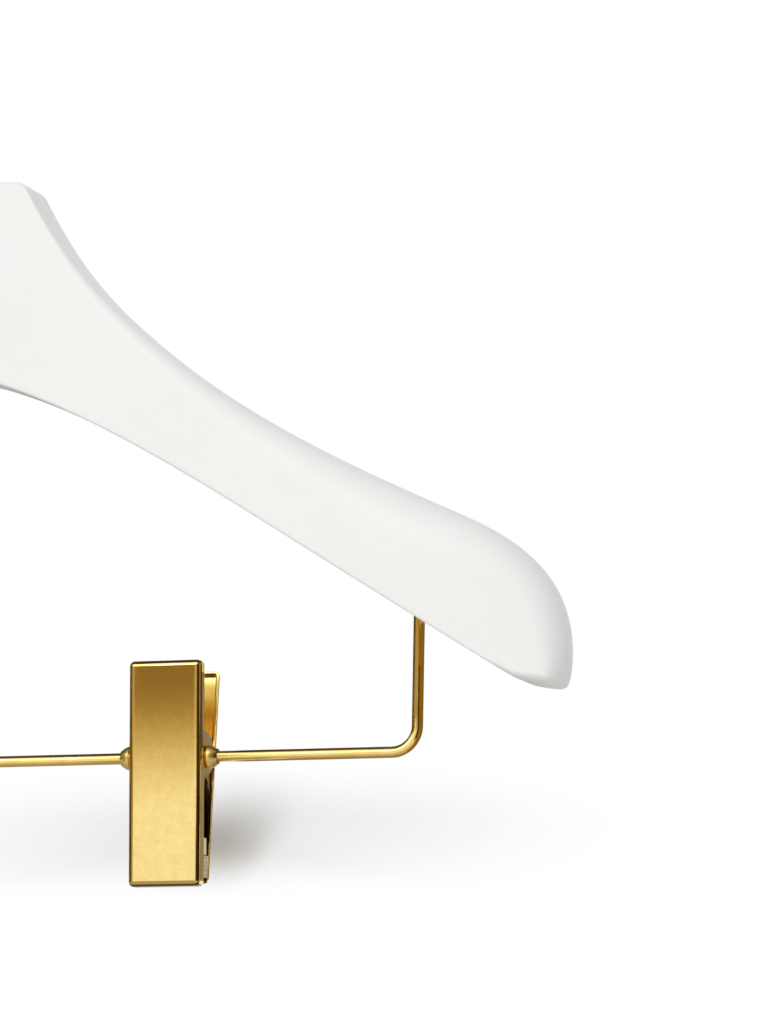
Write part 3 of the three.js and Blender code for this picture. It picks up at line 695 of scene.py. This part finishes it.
def pan(low, high, rim, reach, ear=None, columns=14, bends=10, edge_steps=4):
    """A pressed pan with its floor at y = -reach and its rim turned back towards +Y."""
    rows = pan_rows(low, high, rim, ear)
    count = len(rows)
    across = np.linspace(-1, 1, columns + 1)
    border = [(0, j) for j in range(columns + 1)] + [(r, columns) for r in range(1, count)]
    border += [(count - 1, j) for j in range(columns - 1, -1, -1)] + [(r, 0) for r in range(count - 2, 0, -1)]

    def place(r, j, inset, y):
        z, nx, nz, _ = rows[r]
        corner = max(PAN_CORNER - inset, LEAST_CORNER)
        if math.isnan(z):
            z = low + inset + corner * (1 + nz) if r < count / 2 else high - inset - corner * (1 - nz)
        return (across[j] * (JAW_WIDTH / 2 - inset - corner * (1 - nx)), y - reach, z)

    def floor(y):
        return [place(r, j, PAN_BEND, y) for r in range(count) for j in range(columns + 1)]

    def ring(inset, y):
        return [place(r, j, inset, y) for r, j in border]

    def rim_ring(inset, below):
        return [place(r, j, inset, rows[r][3] - below) for r, j in border]

    inner = PAN_BEND - SHEET
    bend, edge = quarter_round(bends)[1:], quarter_round(edge_steps)
    rings = [ring(PAN_BEND * a, PAN_BEND * b) for a, b in bend]
    rings += [rim_ring(SHEET_EDGE * b, SHEET_EDGE * a) for a, b in edge]
    rings += [rim_ring(SHEET - SHEET_EDGE * a, SHEET_EDGE * b) for a, b in edge]
    rings += [ring(SHEET + inner * a, SHEET + inner * b) for a, b in reversed(bend)]

    points = np.concatenate([floor(0.0), *rings, floor(SHEET)])
    grid, around, faces = count * (columns + 1), len(border), []
    for base in (0, grid + len(rings) * around):
        for r in range(count - 1):
            for j in range(columns):
                a = base + r * (columns + 1) + j
                faces.append((a, a + 1, a + columns + 2, a + columns + 1))
    first = [r * (columns + 1) + j for r, j in border]
    last = [grid + len(rings) * around + i for i in first]
    return points, faces + bands([first, *numbered(len(rings), around, grid), last])


def leaned(points):
    """A shell made facing forwards, turned round and leant back about the pivot."""
    x, y, z = (points * (-1, -1, 1)).T
    return np.column_stack([x, y * LEAN_COSINE + z * LEAN_SINE, z * LEAN_COSINE - y * LEAN_SINE])


def pivot(side):
    return np.array((side * CLIP_X, 0, BAR_Z))


def at_clip(points, side):
    return points + pivot(side)


def pivot_bore(side):
    half = np.array((JAW_WIDTH, 0, 0))
    return (pivot(side) - half, pivot(side) + half, TUBE_RADIUS + FIT_GAP)


def front_jaw(name, side):
    ear = ear_edge(FRONT_RIM - FRONT_REACH, FRONT_EAR_FOOT)
    points, faces = pan(FRONT_BOTTOM, FRONT_TOP, FRONT_RIM, FRONT_REACH, ear)
    return drilled(make_object(name, [(at_clip(points, side), faces)]), pivot_bore(side))


def back_jaw(name, side):
    points, faces = pan(BACK_BOTTOM, BACK_TOP, BACK_RIM, BACK_REACH)
    shells = [(at_clip(leaned(points), side), faces)]
    floor = SHEET - BACK_REACH
    edge = ear_edge(floor, BACK_EAR_FOOT)
    foot = floor - SHEET / 2
    outline = [(foot, edge[0][1])] + edge + [(foot, edge[-1][1])]
    outer = JAW_WIDTH / 2 - SHEET - FIT_GAP
    for start in (outer - SHEET, -outer):
        points, faces = carried(outline, start, start + SHEET, SHEET_EDGE)
        shells.append((at_clip(leaned(points), side), faces))
    return drilled(make_object(name, shells), pivot_bore(side))


def pivot_tube(name, side):
    bore = BAR_WIRE / 2 + FIT_GAP
    lip = bore + BEAD_LIP
    start = JAW_WIDTH / 2 + FIT_GAP + TUBE_PLAY
    end = start + BEAD_LENGTH
    half = [(TUBE_RADIUS, start)]
    for inset, rise in quarter_round(BEAD_EDGE_STEPS):
        half.append((BEAD_RADIUS - BEAD_EDGE * inset, start + BEAD_EDGE * rise))
    for k in range(BEAD_DOME_START, BEAD_STEPS + 1):
        share = k / BEAD_STEPS
        half.append((lerp(lip, BEAD_RADIUS, math.cos(share * math.pi / 2)), start + BEAD_LENGTH * share))
    profile = half + [(bore + BEAD_LIP / 2, end), (bore, end - BEAD_LIP / 2)]
    profile = profile + [(radius, -x) for radius, x in reversed(profile)]
    points, faces = turned(profile)
    points = points[:, (2, 1, 0)] * (1, 1, -1) - (side * TUBE_PLAY, 0, 0)
    return make_object(name, [(at_clip(points, side), faces)])


def leaning(offset, z):
    """Distance of a line in the leaning back jaw from the pivot, as a y at the height z."""
    return (offset + z * LEAN_SINE) / LEAN_COSINE


def ribbed(tip, start, end, into):
    """A grip face at y = tip from one height to another, with shallow grooves cut into the pad."""
    count = max(2, int(abs(end - start) / RIB_PITCH))
    face = []
    for k in range(count):
        for share, dent in RIB_PROFILE:
            face.append((tip + into * RIB_DEPTH * dent, lerp(start, end, (k + share) / count)))
    return face


def front_pad(name, side):
    floor = SHEET + FIT_GAP - FRONT_REACH
    rim = FRONT_RIM + FIT_GAP - FRONT_REACH
    bottom = FRONT_BOTTOM + PAN_BEND + FIT_GAP
    ridge_bottom = PAD_TOP - RIDGE_HEIGHT
    tip, base, below = GRIP_Y - FIT_GAP / 2, rim + PAD_OVERLAP, PAD_TOP - PAD_STEP
    inner = [(floor, bottom), (base, bottom), (base, below), (floor, below)]
    ridge = [(rim, ridge_bottom), (tip, ridge_bottom), *ribbed(tip, ridge_bottom, PAD_TOP, -1)]
    ridge += [(tip, PAD_TOP), (rim, PAD_TOP)]
    return pad(name, side, inner, ridge)


def back_pad(name, side):
    bottom = (BACK_BOTTOM + PAN_BEND + FIT_GAP) * LEAN_COSINE - BACK_REACH * LEAN_SINE
    floor, rim = BACK_REACH - SHEET - FIT_GAP, BACK_REACH - BACK_RIM - FIT_GAP
    tip, below, above = GRIP_Y + FIT_GAP / 2, PAD_TOP - PAD_STEP, bottom + PAD_STEP
    inner = [(leaning(rim, below) - PAD_OVERLAP, below), (leaning(rim, bottom) - PAD_OVERLAP, above)]
    inner += [(leaning(floor, bottom), above), (leaning(floor, below), below)]
    ridge_top = PAD_TOP - RIDGE_HEIGHT - FIT_GAP
    ridge = [(tip, ridge_top), *ribbed(tip, ridge_top, bottom, 1), (tip, bottom)]
    ridge += [(leaning(rim, bottom), bottom), (leaning(rim, ridge_top), ridge_top)]
    return pad(name, side, inner, ridge)


def pad(name, side, inner, ridge):
    shells = []
    for outline, half in ((inner, JAW_WIDTH / 2 - PAN_BEND), (ridge, PAD_HALF_WIDTH)):
        points, faces = carried(rounded(outline, PAD_EDGE, PAD_EDGE_STEPS), -half, half, PAD_EDGE / 3)
        shells.append((at_clip(points, side), faces))
    return make_object(name, shells)


def spring(name, side):
    radius = TUBE_RADIUS + SPRING_PLAY + SPRING_WIRE / 2
    clear = FIT_GAP + SPRING_WIRE / 2
    front = np.array((SHEET + clear - FRONT_REACH, SPRING_LEG_HEIGHT))
    back = np.array((leaning(BACK_REACH - SHEET - clear, SPRING_LEG_HEIGHT), SPRING_LEG_HEIGHT))
    first = math.atan2(front[1], front[0]) + math.acos(radius / np.linalg.norm(front))
    last = math.atan2(back[1], back[0]) - math.acos(radius / np.linalg.norm(back))
    last += 2 * math.pi * SPRING_TURNS
    half = (last - first) / (2 * math.pi) * SPRING_PITCH / 2
    angles = np.linspace(first, last, SPRING_TURNS * COIL_STEPS)
    across = np.linspace(-half, half, len(angles))
    coil = np.column_stack([across, radius * np.cos(angles), radius * np.sin(angles)])
    front_leg = np.linspace((-half, *front), coil[0], LEG_STEPS)[:-1]
    back_leg = np.linspace(coil[-1], (half, *back), LEG_STEPS)[1:]
    points = np.concatenate([front_leg, coil, back_leg])
    shell, along = tube(points, SPRING_WIRE / 2, SPRING_SIDES, SPRING_END_EDGE, SPRING_END_EDGE)
    return make_object(name, [(at_clip(shell[0], side), shell[1])], along)


# Materials

BEAD_DULL = (2.4, 3.2)  # radii between which the rougher plating of a bead sets in
BEAD_MARGIN = 1.0
BEAD_ROUGHNESS = 0.38
PAINTED_SHADE_INSIDE = (16.0, 4.0)  # depths below the bar, between which the painted shade inside a clip fades out towards the bar
INSIDE_ROUGHNESS = 0.2


def srgb(*levels):
    """A colour from 0 to 255 levels, as Blender's linear one."""
    return (*[(v / 255 / 12.92 if v < 11 else ((v / 255 + 0.055) / 1.055) ** 2.4) for v in levels], 1.0)


class Nodes:
    """The node tree of a material or of the world, with short ways to add the nodes used here."""

    def __init__(self, owner):
        owner.use_nodes = True
        self.owner, self.tree = owner, owner.node_tree
        self.shader = self.tree.nodes.get("Principled BSDF")

    def add(self, kind, inputs=(), **settings):
        """The outputs of a new node."""
        node = self.tree.nodes.new("ShaderNode" + kind)
        for key, value in settings.items():
            setattr(node, key, value)
        for socket, value in dict(inputs).items():
            self.put(node.inputs[socket], value)
        return node.outputs

    def put(self, socket, value):
        if isinstance(value, bpy.types.NodeSocket):
            self.tree.links.new(value, socket)
        else:
            socket.default_value = value

    def set(self, **values):
        for key, value in values.items():
            self.put(self.shader.inputs[key.replace("_", " ")], value)

    def surface(self, shader):
        """Shows a material by this shader in place of the usual one."""
        self.tree.nodes.remove(self.shader)
        self.put(self.tree.nodes["Material Output"].inputs["Surface"], shader)

    def place(self):
        """X, Y and Z in the object's own frame."""
        return self.add("SeparateXYZ", {0: self.add("TexCoord")["Object"]})

    def object_coords(self, scale=(1, 1, 1), turn=(0, 0, 0)):
        coords = self.add("TexCoord")["Object"]
        return self.add("Mapping", {"Vector": coords, "Scale": scale, "Rotation": turn})["Vector"]

    def wire_coords(self, stretch, across):
        """Coordinates that run along a wire, for marks drawn out lengthwise."""
        along = self.add("Attribute", attribute_name="along")["Fac"]
        length = self.math("MULTIPLY", along, stretch)
        coords = self.add("TexCoord")
        around = self.add("VectorMath", {0: coords["Normal"], "Scale": across}, operation="SCALE")["Vector"]
        shift = self.add("CombineXYZ", {"X": length, "Y": length, "Z": 0.0})["Vector"]
        both = self.add("VectorMath", {0: around, 1: shift}, operation="ADD")["Vector"]
        return self.add("VectorMath", {0: both, 1: coords["Object"]}, operation="ADD")["Vector"]

    def noise(self, vector, scale=1.0, detail=2.0, rough=0.5, distortion=0.0):
        inputs = {"Vector": vector, "Scale": scale, "Detail": detail}
        inputs.update({"Roughness": rough, "Distortion": distortion})
        return self.add("TexNoise", inputs)["Fac"]

    def math(self, operation, *values):
        return self.add("Math", dict(enumerate(values)), operation=operation)[0]

    def length(self, first, second):
        squares = [self.math("POWER", value, 2) for value in (first, second)]
        return self.math("SQRT", self.math("ADD", *squares))

    def ramp(self, value, low, high, to_low=0, to_high=1, form="LINEAR"):
        inputs = {"Value": value, "From Min": low, "From Max": high, "To Min": to_low, "To Max": to_high}
        return self.add("MapRange", inputs, interpolation_type=form)["Result"]

    def blend(self, share, first, second):
        sockets = {0: share, 6: first, 7: second}  # the factor and the colours of a Mix node
        return self.add("Mix", sockets, data_type="RGBA")[2]

    def bump(self, height, strength, distance, below=None):
        inputs = {"Height": height, "Strength": strength, "Distance": distance}
        if below is not None:
            inputs["Normal"] = below
        return self.add("Bump", inputs)["Normal"]


def new_material(name):
    return Nodes(bpy.data.materials.new(name))


def white_paint():
    """Satin lacquer: a faint orange peel, the grain just telling through, and small changes of gloss."""
    n = new_material("white_paint")
    plain = n.object_coords()
    grain = n.object_coords((30, 260, 260), (0, math.radians(EDGE_SLOPE), 0))
    mottle = n.noise(plain, scale=18, detail=3)
    streaks = n.noise(grain, detail=3, distortion=0.4)
    peel = n.noise(plain, scale=900, rough=0.6)
    n.set(Base_Color=n.blend(n.ramp(mottle, 0.3, 0.7), srgb(241, 240, 238), srgb(243, 242, 240)))
    n.set(Roughness=n.ramp(streaks, 0.25, 0.75, 0.52, 0.6))
    soft = n.bump(streaks, strength=0.03, distance=0.0003)
    n.set(Normal=n.bump(peel, strength=0.04, distance=0.0002, below=soft))
    n.shader.inputs["IOR"].default_value = 1.4
    return n.owner


def bare_wood():
    """Beech turned into fluted pins."""
    n = new_material("bare_wood")
    grain = n.object_coords((60, 900, 900))
    lines = n.noise(grain, detail=5, rough=0.6, distortion=0.8)
    flecks = n.noise(n.object_coords((300, 2600, 1400)))
    wood = n.blend(n.ramp(lines, 0.3, 0.7), srgb(214, 178, 132), srgb(190, 148, 102))
    n.set(Base_Color=n.blend(n.ramp(flecks, 0.62, 0.72, 0, 0.6), wood, srgb(158, 112, 72)))
    n.set(Roughness=n.ramp(lines, 0.2, 0.8, 0.62, 0.8))
    n.set(Normal=n.bump(lines, strength=0.3, distance=0.0004))
    return n.owner


def on_bead(n):
    """1 on the domed ends of the pivot tubes, which are plated over but not drawn bright."""
    place = n.place()
    out = n.length(place["Y"], n.math("SUBTRACT", place["Z"], BAR_Z * MM))
    dull_and_painted_shade = n.ramp(out, *[radius * MM for radius in BEAD_DULL])
    near = n.math("LESS_THAN", out, (BEAD_RADIUS + BEAD_MARGIN) * MM)
    straight = n.math("LESS_THAN", n.math("ABSOLUTE", place["X"]), (BAR_REACH - 2 * BAR_BEND_RADIUS) * MM)
    return n.math("MULTIPLY", dull_and_painted_shade, n.math("MULTIPLY", near, straight))


def gold_wire():
    """Bright plated wire with fine marks drawn out along it and a few darker specks."""
    n = new_material("gold_wire")
    drawn = n.noise(n.wire_coords(30, 14), detail=4, rough=0.6)
    clouds = n.noise(n.object_coords(), scale=160, detail=3)
    specks = n.noise(n.object_coords((500, 500, 500)))
    gold = n.blend(n.ramp(clouds, 0.3, 0.7), srgb(250, 220, 142), srgb(240, 208, 128))
    n.set(Base_Color=n.blend(n.ramp(specks, 0.7, 0.78, 0, 0.5), gold, srgb(186, 142, 66)))
    dull_and_painted_shade = n.math("MULTIPLY", on_bead(n), BEAD_ROUGHNESS)
    n.set(Metallic=1.0, Roughness=n.math("MAXIMUM", n.ramp(drawn, 0.2, 0.8, 0.12, 0.24), dull_and_painted_shade))
    n.set(Normal=n.bump(drawn, strength=0.06, distance=0.0002))
    return n.owner


def inside_clip(n):
    """1 on the faces of a clip that look at its other jaw, where the sheet is left as it was pressed and,
    below the bar, carries painted shade.
    """
    place = n.place()
    aside = n.math("ABSOLUTE", n.math("SUBTRACT", n.math("ABSOLUTE", place["X"]), CLIP_X * MM))
    height = n.math("SUBTRACT", place["Z"], BAR_Z * MM)
    across = n.math("MULTIPLY", place["Y"], LEAN_COSINE)
    depth = n.math("SUBTRACT", across, n.math("MULTIPLY", height, LEAN_SINE))
    walls = (
        n.math("LESS_THAN", aside, (JAW_WIDTH - SHEET) / 2 * MM),
        n.math("GREATER_THAN", place["Y"], (SHEET / 2 - FRONT_REACH) * MM),
        n.math("LESS_THAN", depth, (BACK_REACH - SHEET / 2) * MM))
    return n.math("MULTIPLY", n.math("MULTIPLY", walls[0], walls[1]), walls[2])


def gold_sheet():
    """Satin plated sheet: a fine random grain, crossing hair scratches, soft clouds, a rougher inside, and
    painted shade that darkens the inside below the bar.
    """
    n = new_material("gold_sheet")
    plain = n.object_coords()
    fine = n.noise(plain, scale=2600, detail=3, rough=0.7)
    clouds = n.noise(plain, scale=260, detail=4, rough=0.65, distortion=0.6)
    one_way = n.object_coords((900, 900, 140), (0, math.radians(28), 0))
    other_way = n.object_coords((900, 900, 160), (0, math.radians(-50), 0))
    hair = n.noise(one_way, detail=4, rough=0.7, distortion=1.2)
    cross = n.noise(other_way, detail=4, rough=0.7, distortion=1.0)
    worn = n.math("MAXIMUM", hair, cross)
    tone = n.ramp(n.math("ADD", clouds, fine), 0.75, 1.25)
    gold = n.blend(tone, srgb(254, 228, 152), srgb(242, 210, 132))
    gold = n.blend(n.ramp(worn, 0.66, 0.8, 0, 0.35), gold, srgb(252, 232, 172))
    inside = inside_clip(n)
    # painted shade: below the bar the inside of a clip turns dark brown, standing in for the shade in its
    # closed hollow
    heights = [(BAR_Z - drop) * MM for drop in PAINTED_SHADE_INSIDE]
    dull_and_painted_shade = n.math("MULTIPLY", inside, n.ramp(n.place()["Z"], *heights, 0.9, 0))
    n.set(Base_Color=n.blend(dull_and_painted_shade, gold, srgb(52, 38, 12)))
    satin = n.ramp(clouds, 0.25, 0.75, 0.11, 0.15)
    pressed = n.math("MULTIPLY", inside, INSIDE_ROUGHNESS)
    n.set(Metallic=1.0, Roughness=n.math("MAXIMUM", satin, pressed))
    grain = n.bump(worn, strength=0.04, distance=0.0001)
    n.set(Normal=n.bump(fine, strength=0.05, distance=0.0001, below=grain))
    return n.owner


def spring_steel():
    """Bright drawn spring wire, greyer in its draw marks."""
    n = new_material("spring_steel")
    drawn = n.noise(n.wire_coords(60, 10), detail=4, rough=0.6)
    clouds = n.noise(n.object_coords(), scale=300)
    n.set(Base_Color=n.blend(n.ramp(clouds, 0.3, 0.7), srgb(188, 190, 194), srgb(160, 162, 168)))
    n.set(Metallic=1.0, Roughness=n.ramp(drawn, 0.2, 0.8, 0.2, 0.38))
    n.set(Normal=n.bump(drawn, strength=0.15, distance=0.0002))
    return n.owner


def pale_pad():
    """Soft cream moulding with a fine skin and slight yellowing."""
    n = new_material("pale_pad")
    plain = n.object_coords()
    skin = n.noise(plain, scale=1800, detail=3, rough=0.6)
    age = n.noise(plain, scale=120, detail=3)
    n.set(Base_Color=n.blend(n.ramp(age, 0.3, 0.7), srgb(254, 240, 200), srgb(247, 228, 180)))
    n.set(Roughness=n.ramp(skin, 0.3, 0.7, 0.42, 0.58))
    n.set(Normal=n.bump(skin, strength=0.15, distance=0.0002))
    n.shader.inputs["Subsurface Weight"].default_value = 0.15
    n.shader.inputs["Subsurface Radius"].default_value = (0.0012, 0.0009, 0.0006)
    return n.owner


# The parts, each but the springs put on the body that carries it

MATERIALS = (white_paint, bare_wood, gold_wire, gold_sheet, spring_steel, pale_pad)
FINISHES = {make.__name__: make() for make in MATERIALS}
pieces = []


def dress(piece, node, slot, body=None):
    pieces.append(piece)
    piece.data.materials.clear()
    piece.data.materials.append(FINISHES[slot])
    if body:
        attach(piece, body)
    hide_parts(node)


dress(arm("right_arm_wood", 1), "right_arm", "white_paint", "body")
dress(arm("left_arm_wood", -1), "left_arm", "white_paint", "body")
for pin, drop in dowel_drops().items():
    dress(dowel(pin + "_pin", drop), pin, "bare_wood", "body")
dress(hook("hook_wire"), "hook", "gold_wire", "swivel_hook")
dress(collar("hook_collar_ring"), "hook_collar", "gold_wire", "swivel_hook")
dress(bush("hook_bush_sleeve"), "hook_bush", "gold_wire", "body")
dress(trouser_bar("trouser_bar_wire"), "trouser_bar", "gold_wire", "body")
for label, side in (("left", -1), ("right", 1)):
    front, back = label + "_clip_front", label + "_clip_back"
    dress(front_jaw(label + "_front_jaw_sheet", side), label + "_front_jaw", "gold_sheet", front)
    dress(back_jaw(label + "_back_jaw_sheet", side), label + "_back_jaw", "gold_sheet", back)
    dress(pivot_tube(label + "_pivot_rivet", side), label + "_pivot_tube", "gold_wire", label + "_slider")
    dress(front_pad(label + "_front_pad_block", side), label + "_front_pad", "pale_pad", front)
    dress(back_pad(label + "_back_pad_block", side), label + "_back_pad", "pale_pad", back)
    coil = spring(label + "_spring_coil", side)
    dress(coil, label + "_spring", "spring_steel")
    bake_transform(coil)


# Stage

FLOOR_TILT = 45.0  # of the pale slope behind the hanger, which takes the shadow of its clips
FLOOR_FOOT = (4.5, BAR_Z - 56.2)  # y and z of the slope's middle, in millimetres
FLOOR_SIZE = 16.0
SHADOW_MIDDLE = 0.0426  # up the slope from its middle, the middle of a clip's shadow
SHADOW_REACH = (0.16, 0.045)  # from there, along the bar and up the slope, where the shadow ends
SHADOW_FOOT = (0.0125, 0.042)  # up the slope, between which the shadow sets in
# the slope's grey near the clips: lit, it stays a little below white, so it also paints a faint shadow round
# each clip
FLOOR_PALE = srgb(219, 220, 222)
FLOOR_BOUNCE = srgb(176, 176, 176)
LAMP_AIM = (0.06, 0, -0.2)
LAMPS = {  # place, width and height, power in watts, and what it lights
    "key": ((-0.24, -3.41, 0.53), (1.6, 1.6), 35.0, "all"),
    "back": ((0.24, 3.41, 0.53), (1.6, 1.6), 50.0, "hanger"),
    "shade": ((-0.704, -2.851, 1.79), (1.0, 4.0), 56.0, "slope"),
}
AMBIENT = 0.73

# Cards that show only in reflections: two opposite corners and a colour
BLACK = (0.05, 0.025, 0.005)
DARK = (0.08, 0.06, 0.03)
BROWN = (0.25, 0.154, 0.041)
GREY = (0.28, 0.24, 0.2)
UMBER = (0.29, 0.21, 0.03)
BRONZE = (0.42, 0.31, 0.136)
GOLD = (0.7, 0.6, 0.3)
TAN = (0.42, 0.38, 0.3)
SAND = (0.65, 0.6, 0.5)
# a card brighter than white, seen only in reflections, that paints the highlights on the wires and on the
# bends of the sheet
SHINE = (3.0, 3.0, 2.9)
FLAGS = {
    "front": ((0.033, -0.1, -0.3), (0.082, -0.1, -0.2), BROWN),
    "shine": ((-1.0, -1.0, -0.02), (0.6, -1.0, 0.65), SHINE),
    "low": ((-0.3, -0.12, -0.335), (0.3, 0, -0.335), SAND),
    "right": ((0.5, -1.6, -0.5), (0.5, 0.15, 0.2), BLACK),
    "right_front": ((0.07, -0.3, -0.26), (0.24, -0.3, -0.16), BRONZE),
    "left_front": ((-0.5, -1.15, -0.5), (-0.5, -0.35, 0), BRONZE),
    "left": ((-0.5, -0.35, -0.5), (-0.5, 0.6, 0), BLACK),
    "right_foot": ((0.04, -0.065, -0.312), (0.105, -0.004, -0.312), TAN),
    "left_foot": ((-0.105, -0.065, -0.312), (-0.04, -0.004, -0.312), TAN),
    "right_top": ((0.045, -0.035, -0.178), (0.115, 0.085, -0.178), BLACK),
    "left_top": ((-0.115, -0.035, -0.178), (-0.045, 0.085, -0.178), BLACK),
    "right_lip": ((0.07, -0.0033, -0.2331), (0.1, -0.0033, -0.2257), GOLD),
    "right_lip_face": ((0.07, -0.0037, -0.2291), (0.1, -0.0037, -0.2257), BLACK),
    "back_top": ((0.05, 0.05, -0.225), (0.11, 0.05, -0.12), UMBER),
    "leg_front": ((0.1591, -0.0075, -0.25), (0.1729, -0.0075, -0.1975), BRONZE),
    "leg_right": ((0.1757, -0.0045, -0.28), (0.1757, 0.0255, -0.205), BROWN),
    "leg_upper": ((0.1729, -0.0075, -0.2322), (0.1809, -0.0075, -0.2022), BROWN),
    "back_right": ((0.099, 0.004, -0.3035), (0.199, 0.124, -0.1835), GREY),
    "back_left": ((-0.066, 0.03, -0.275), (0.068, 0.03, -0.12), BROWN),
    "bar_right": ((0.105, 0.012, -0.26), (0.18, 0.012, -0.2), DARK),
    "bar_left": ((-0.07, 0.012, -0.26), (0.068, 0.012, -0.2), DARK),
    "over_right": ((0.105, -0.03, -0.2), (0.18, 0.012, -0.2), DARK),
    "over_left": ((-0.07, -0.03, -0.2), (0.068, 0.012, -0.2), DARK),
    "below_right": ((0.112, -0.03, -0.3375), (0.202, 0.042, -0.2655), TAN),
    "below_left": ((-0.07, -0.03, -0.3375), (0.062, 0.042, -0.2655), TAN),
}
# Heights between which a card goes from white to its colour
FLAG_FADE = {"front": (-0.274, -0.224), "right_front": (-0.252, -0.214)}


def pale_slope():
    """A white slope that keeps the lamp shadows of the clips, with a faint painted shadow round them where
    its grey fades into white; clear when it is looked at from below.
    """
    bpy.ops.mesh.primitive_plane_add(size=FLOOR_SIZE)
    slope = bpy.context.object
    slope.name = "slope"
    slope.rotation_euler = (math.radians(FLOOR_TILT), 0, 0)
    slope.location = (0, FLOOR_FOOT[0] * MM, FLOOR_FOOT[1] * MM)
    n = new_material("slope_white")
    path = n.add("LightPath")
    camera_ray = path["Is Camera Ray"]
    mirrored = n.math("MAXIMUM", path["Is Glossy Ray"], path["Is Transmission Ray"])
    place = n.place()
    along = n.math("DIVIDE", n.math("SUBTRACT", n.math("ABSOLUTE", place["X"]), CLIP_X * MM), SHADOW_REACH[0])
    up = n.math("DIVIDE", n.math("SUBTRACT", place["Y"], SHADOW_MIDDLE), SHADOW_REACH[1])
    away = n.ramp(n.length(along, up), 0, 1, form="SMOOTHSTEP")
    away = n.math("MAXIMUM", away, n.ramp(place["Y"], *SHADOW_FOOT, 1, 0, "SMOOTHSTEP"))
    matt = n.add("BsdfDiffuse", {"Color": n.blend(camera_ray, FLOOR_BOUNCE, FLOOR_PALE)})[0]
    white = n.add("Emission", {"Strength": 1.0})[0]
    plain = n.math("MAXIMUM", mirrored, n.math("MULTIPLY", camera_ray, away))
    top = n.add("MixShader", {0: plain, 1: matt, 2: white})[0]
    hidden = n.math("MULTIPLY", n.add("NewGeometry")["Backfacing"], camera_ray)
    clear = n.add("BsdfTransparent")[0]
    n.surface(n.add("MixShader", {0: hidden, 1: top, 2: clear})[0])
    slope.data.materials.append(n.owner)
    return slope


def world():
    """White to the eye and in reflections, and an even soft light on the object."""
    made = bpy.data.worlds.new("studio")
    bpy.context.scene.world = made
    n = Nodes(made)
    path = n.add("LightPath")
    mirrored = n.math("MAXIMUM", path["Is Glossy Ray"], path["Is Transmission Ray"])
    seen = n.math("MAXIMUM", path["Is Camera Ray"], mirrored)
    background = n.tree.nodes["Background"].inputs
    n.put(background["Color"], (1, 1, 1, 1))
    n.put(background["Strength"], n.ramp(seen, 0, 1, AMBIENT, 1))


def look_along(eye, way):
    eye.rotation_euler = way.to_track_quat("-Z", "Y").to_euler()


def lamps(slope):
    """Soft lights before and behind the hanger, and one that throws its shadow on the slope."""
    groups = {name: bpy.data.collections.new(name) for name in ("hanger", "slope")}
    groups["slope"].objects.link(slope)
    for piece in pieces:
        groups["hanger"].objects.link(piece)
    for name, (place, (width, height), power, lit) in LAMPS.items():
        data = bpy.data.lights.new(name, "AREA")
        data.shape, data.size, data.size_y, data.energy = "RECTANGLE", width, height, power
        lamp = linked(name, data)
        lamp.location = place
        look_along(lamp, Vector(LAMP_AIM) - Vector(place))
        lamp.visible_camera = lamp.visible_glossy = False
        if lit in groups:
            lamp.light_linking.receiver_collection = groups[lit]
            lamp.light_linking.blocker_collection = groups["hanger"]


def flags():
    """Cards round the hanger, seen only in reflections, which paint dark and bright reflections into the
    plating and the wires.
    """
    for label, (corner, opposite, colour) in FLAGS.items():
        name = "flag_" + label
        corner, opposite = Vector(corner), Vector(opposite)
        span = opposite - corner
        edge = Vector((span.x, 0, 0)) if span.x else Vector((0, span.y, 0))
        mesh = bpy.data.meshes.new(name)
        mesh.from_pydata([corner, corner + edge, opposite, opposite - edge], [], [(0, 1, 2, 3)])
        card = linked(name, mesh)
        n = new_material(name + "_tone")
        tone = (*colour, 1)
        if label in FLAG_FADE:
            level = n.ramp(n.place()["Z"], *FLAG_FADE[label], 1, colour[0], "SMOOTHSTEP")
            powers = [math.log(band) / math.log(colour[0]) for band in colour]
            levels = [n.math("POWER", level, power) for power in powers]
            tone = n.add("CombineColor", dict(enumerate(levels)))[0]
        n.surface(n.add("Emission", {"Color": tone})[0])
        mesh.materials.append(n.owner)
        card.visible_camera = card.visible_diffuse = card.visible_transmission = False
        card.visible_volume_scatter = card.visible_shadow = False


def camera():
    data = bpy.data.cameras.new("camera")
    data.sensor_width = SENSOR
    data.lens = FOCAL_PIXELS * SENSOR / LONG_SIDE_PIXELS
    data.clip_end = CAMERA_END
    eye = linked("camera", data)
    turn, pitch = math.radians(CAMERA_TURN), math.radians(CAMERA_PITCH)
    ahead = Vector((-math.sin(turn) * math.cos(pitch), math.cos(turn) * math.cos(pitch), math.sin(pitch)))
    eye.location = CAMERA_PLACE
    look_along(eye, ahead)
    bpy.context.scene.camera = eye


world()
lamps(pale_slope())
flags()
camera()
bpy.context.scene.view_settings.view_transform = "Standard"
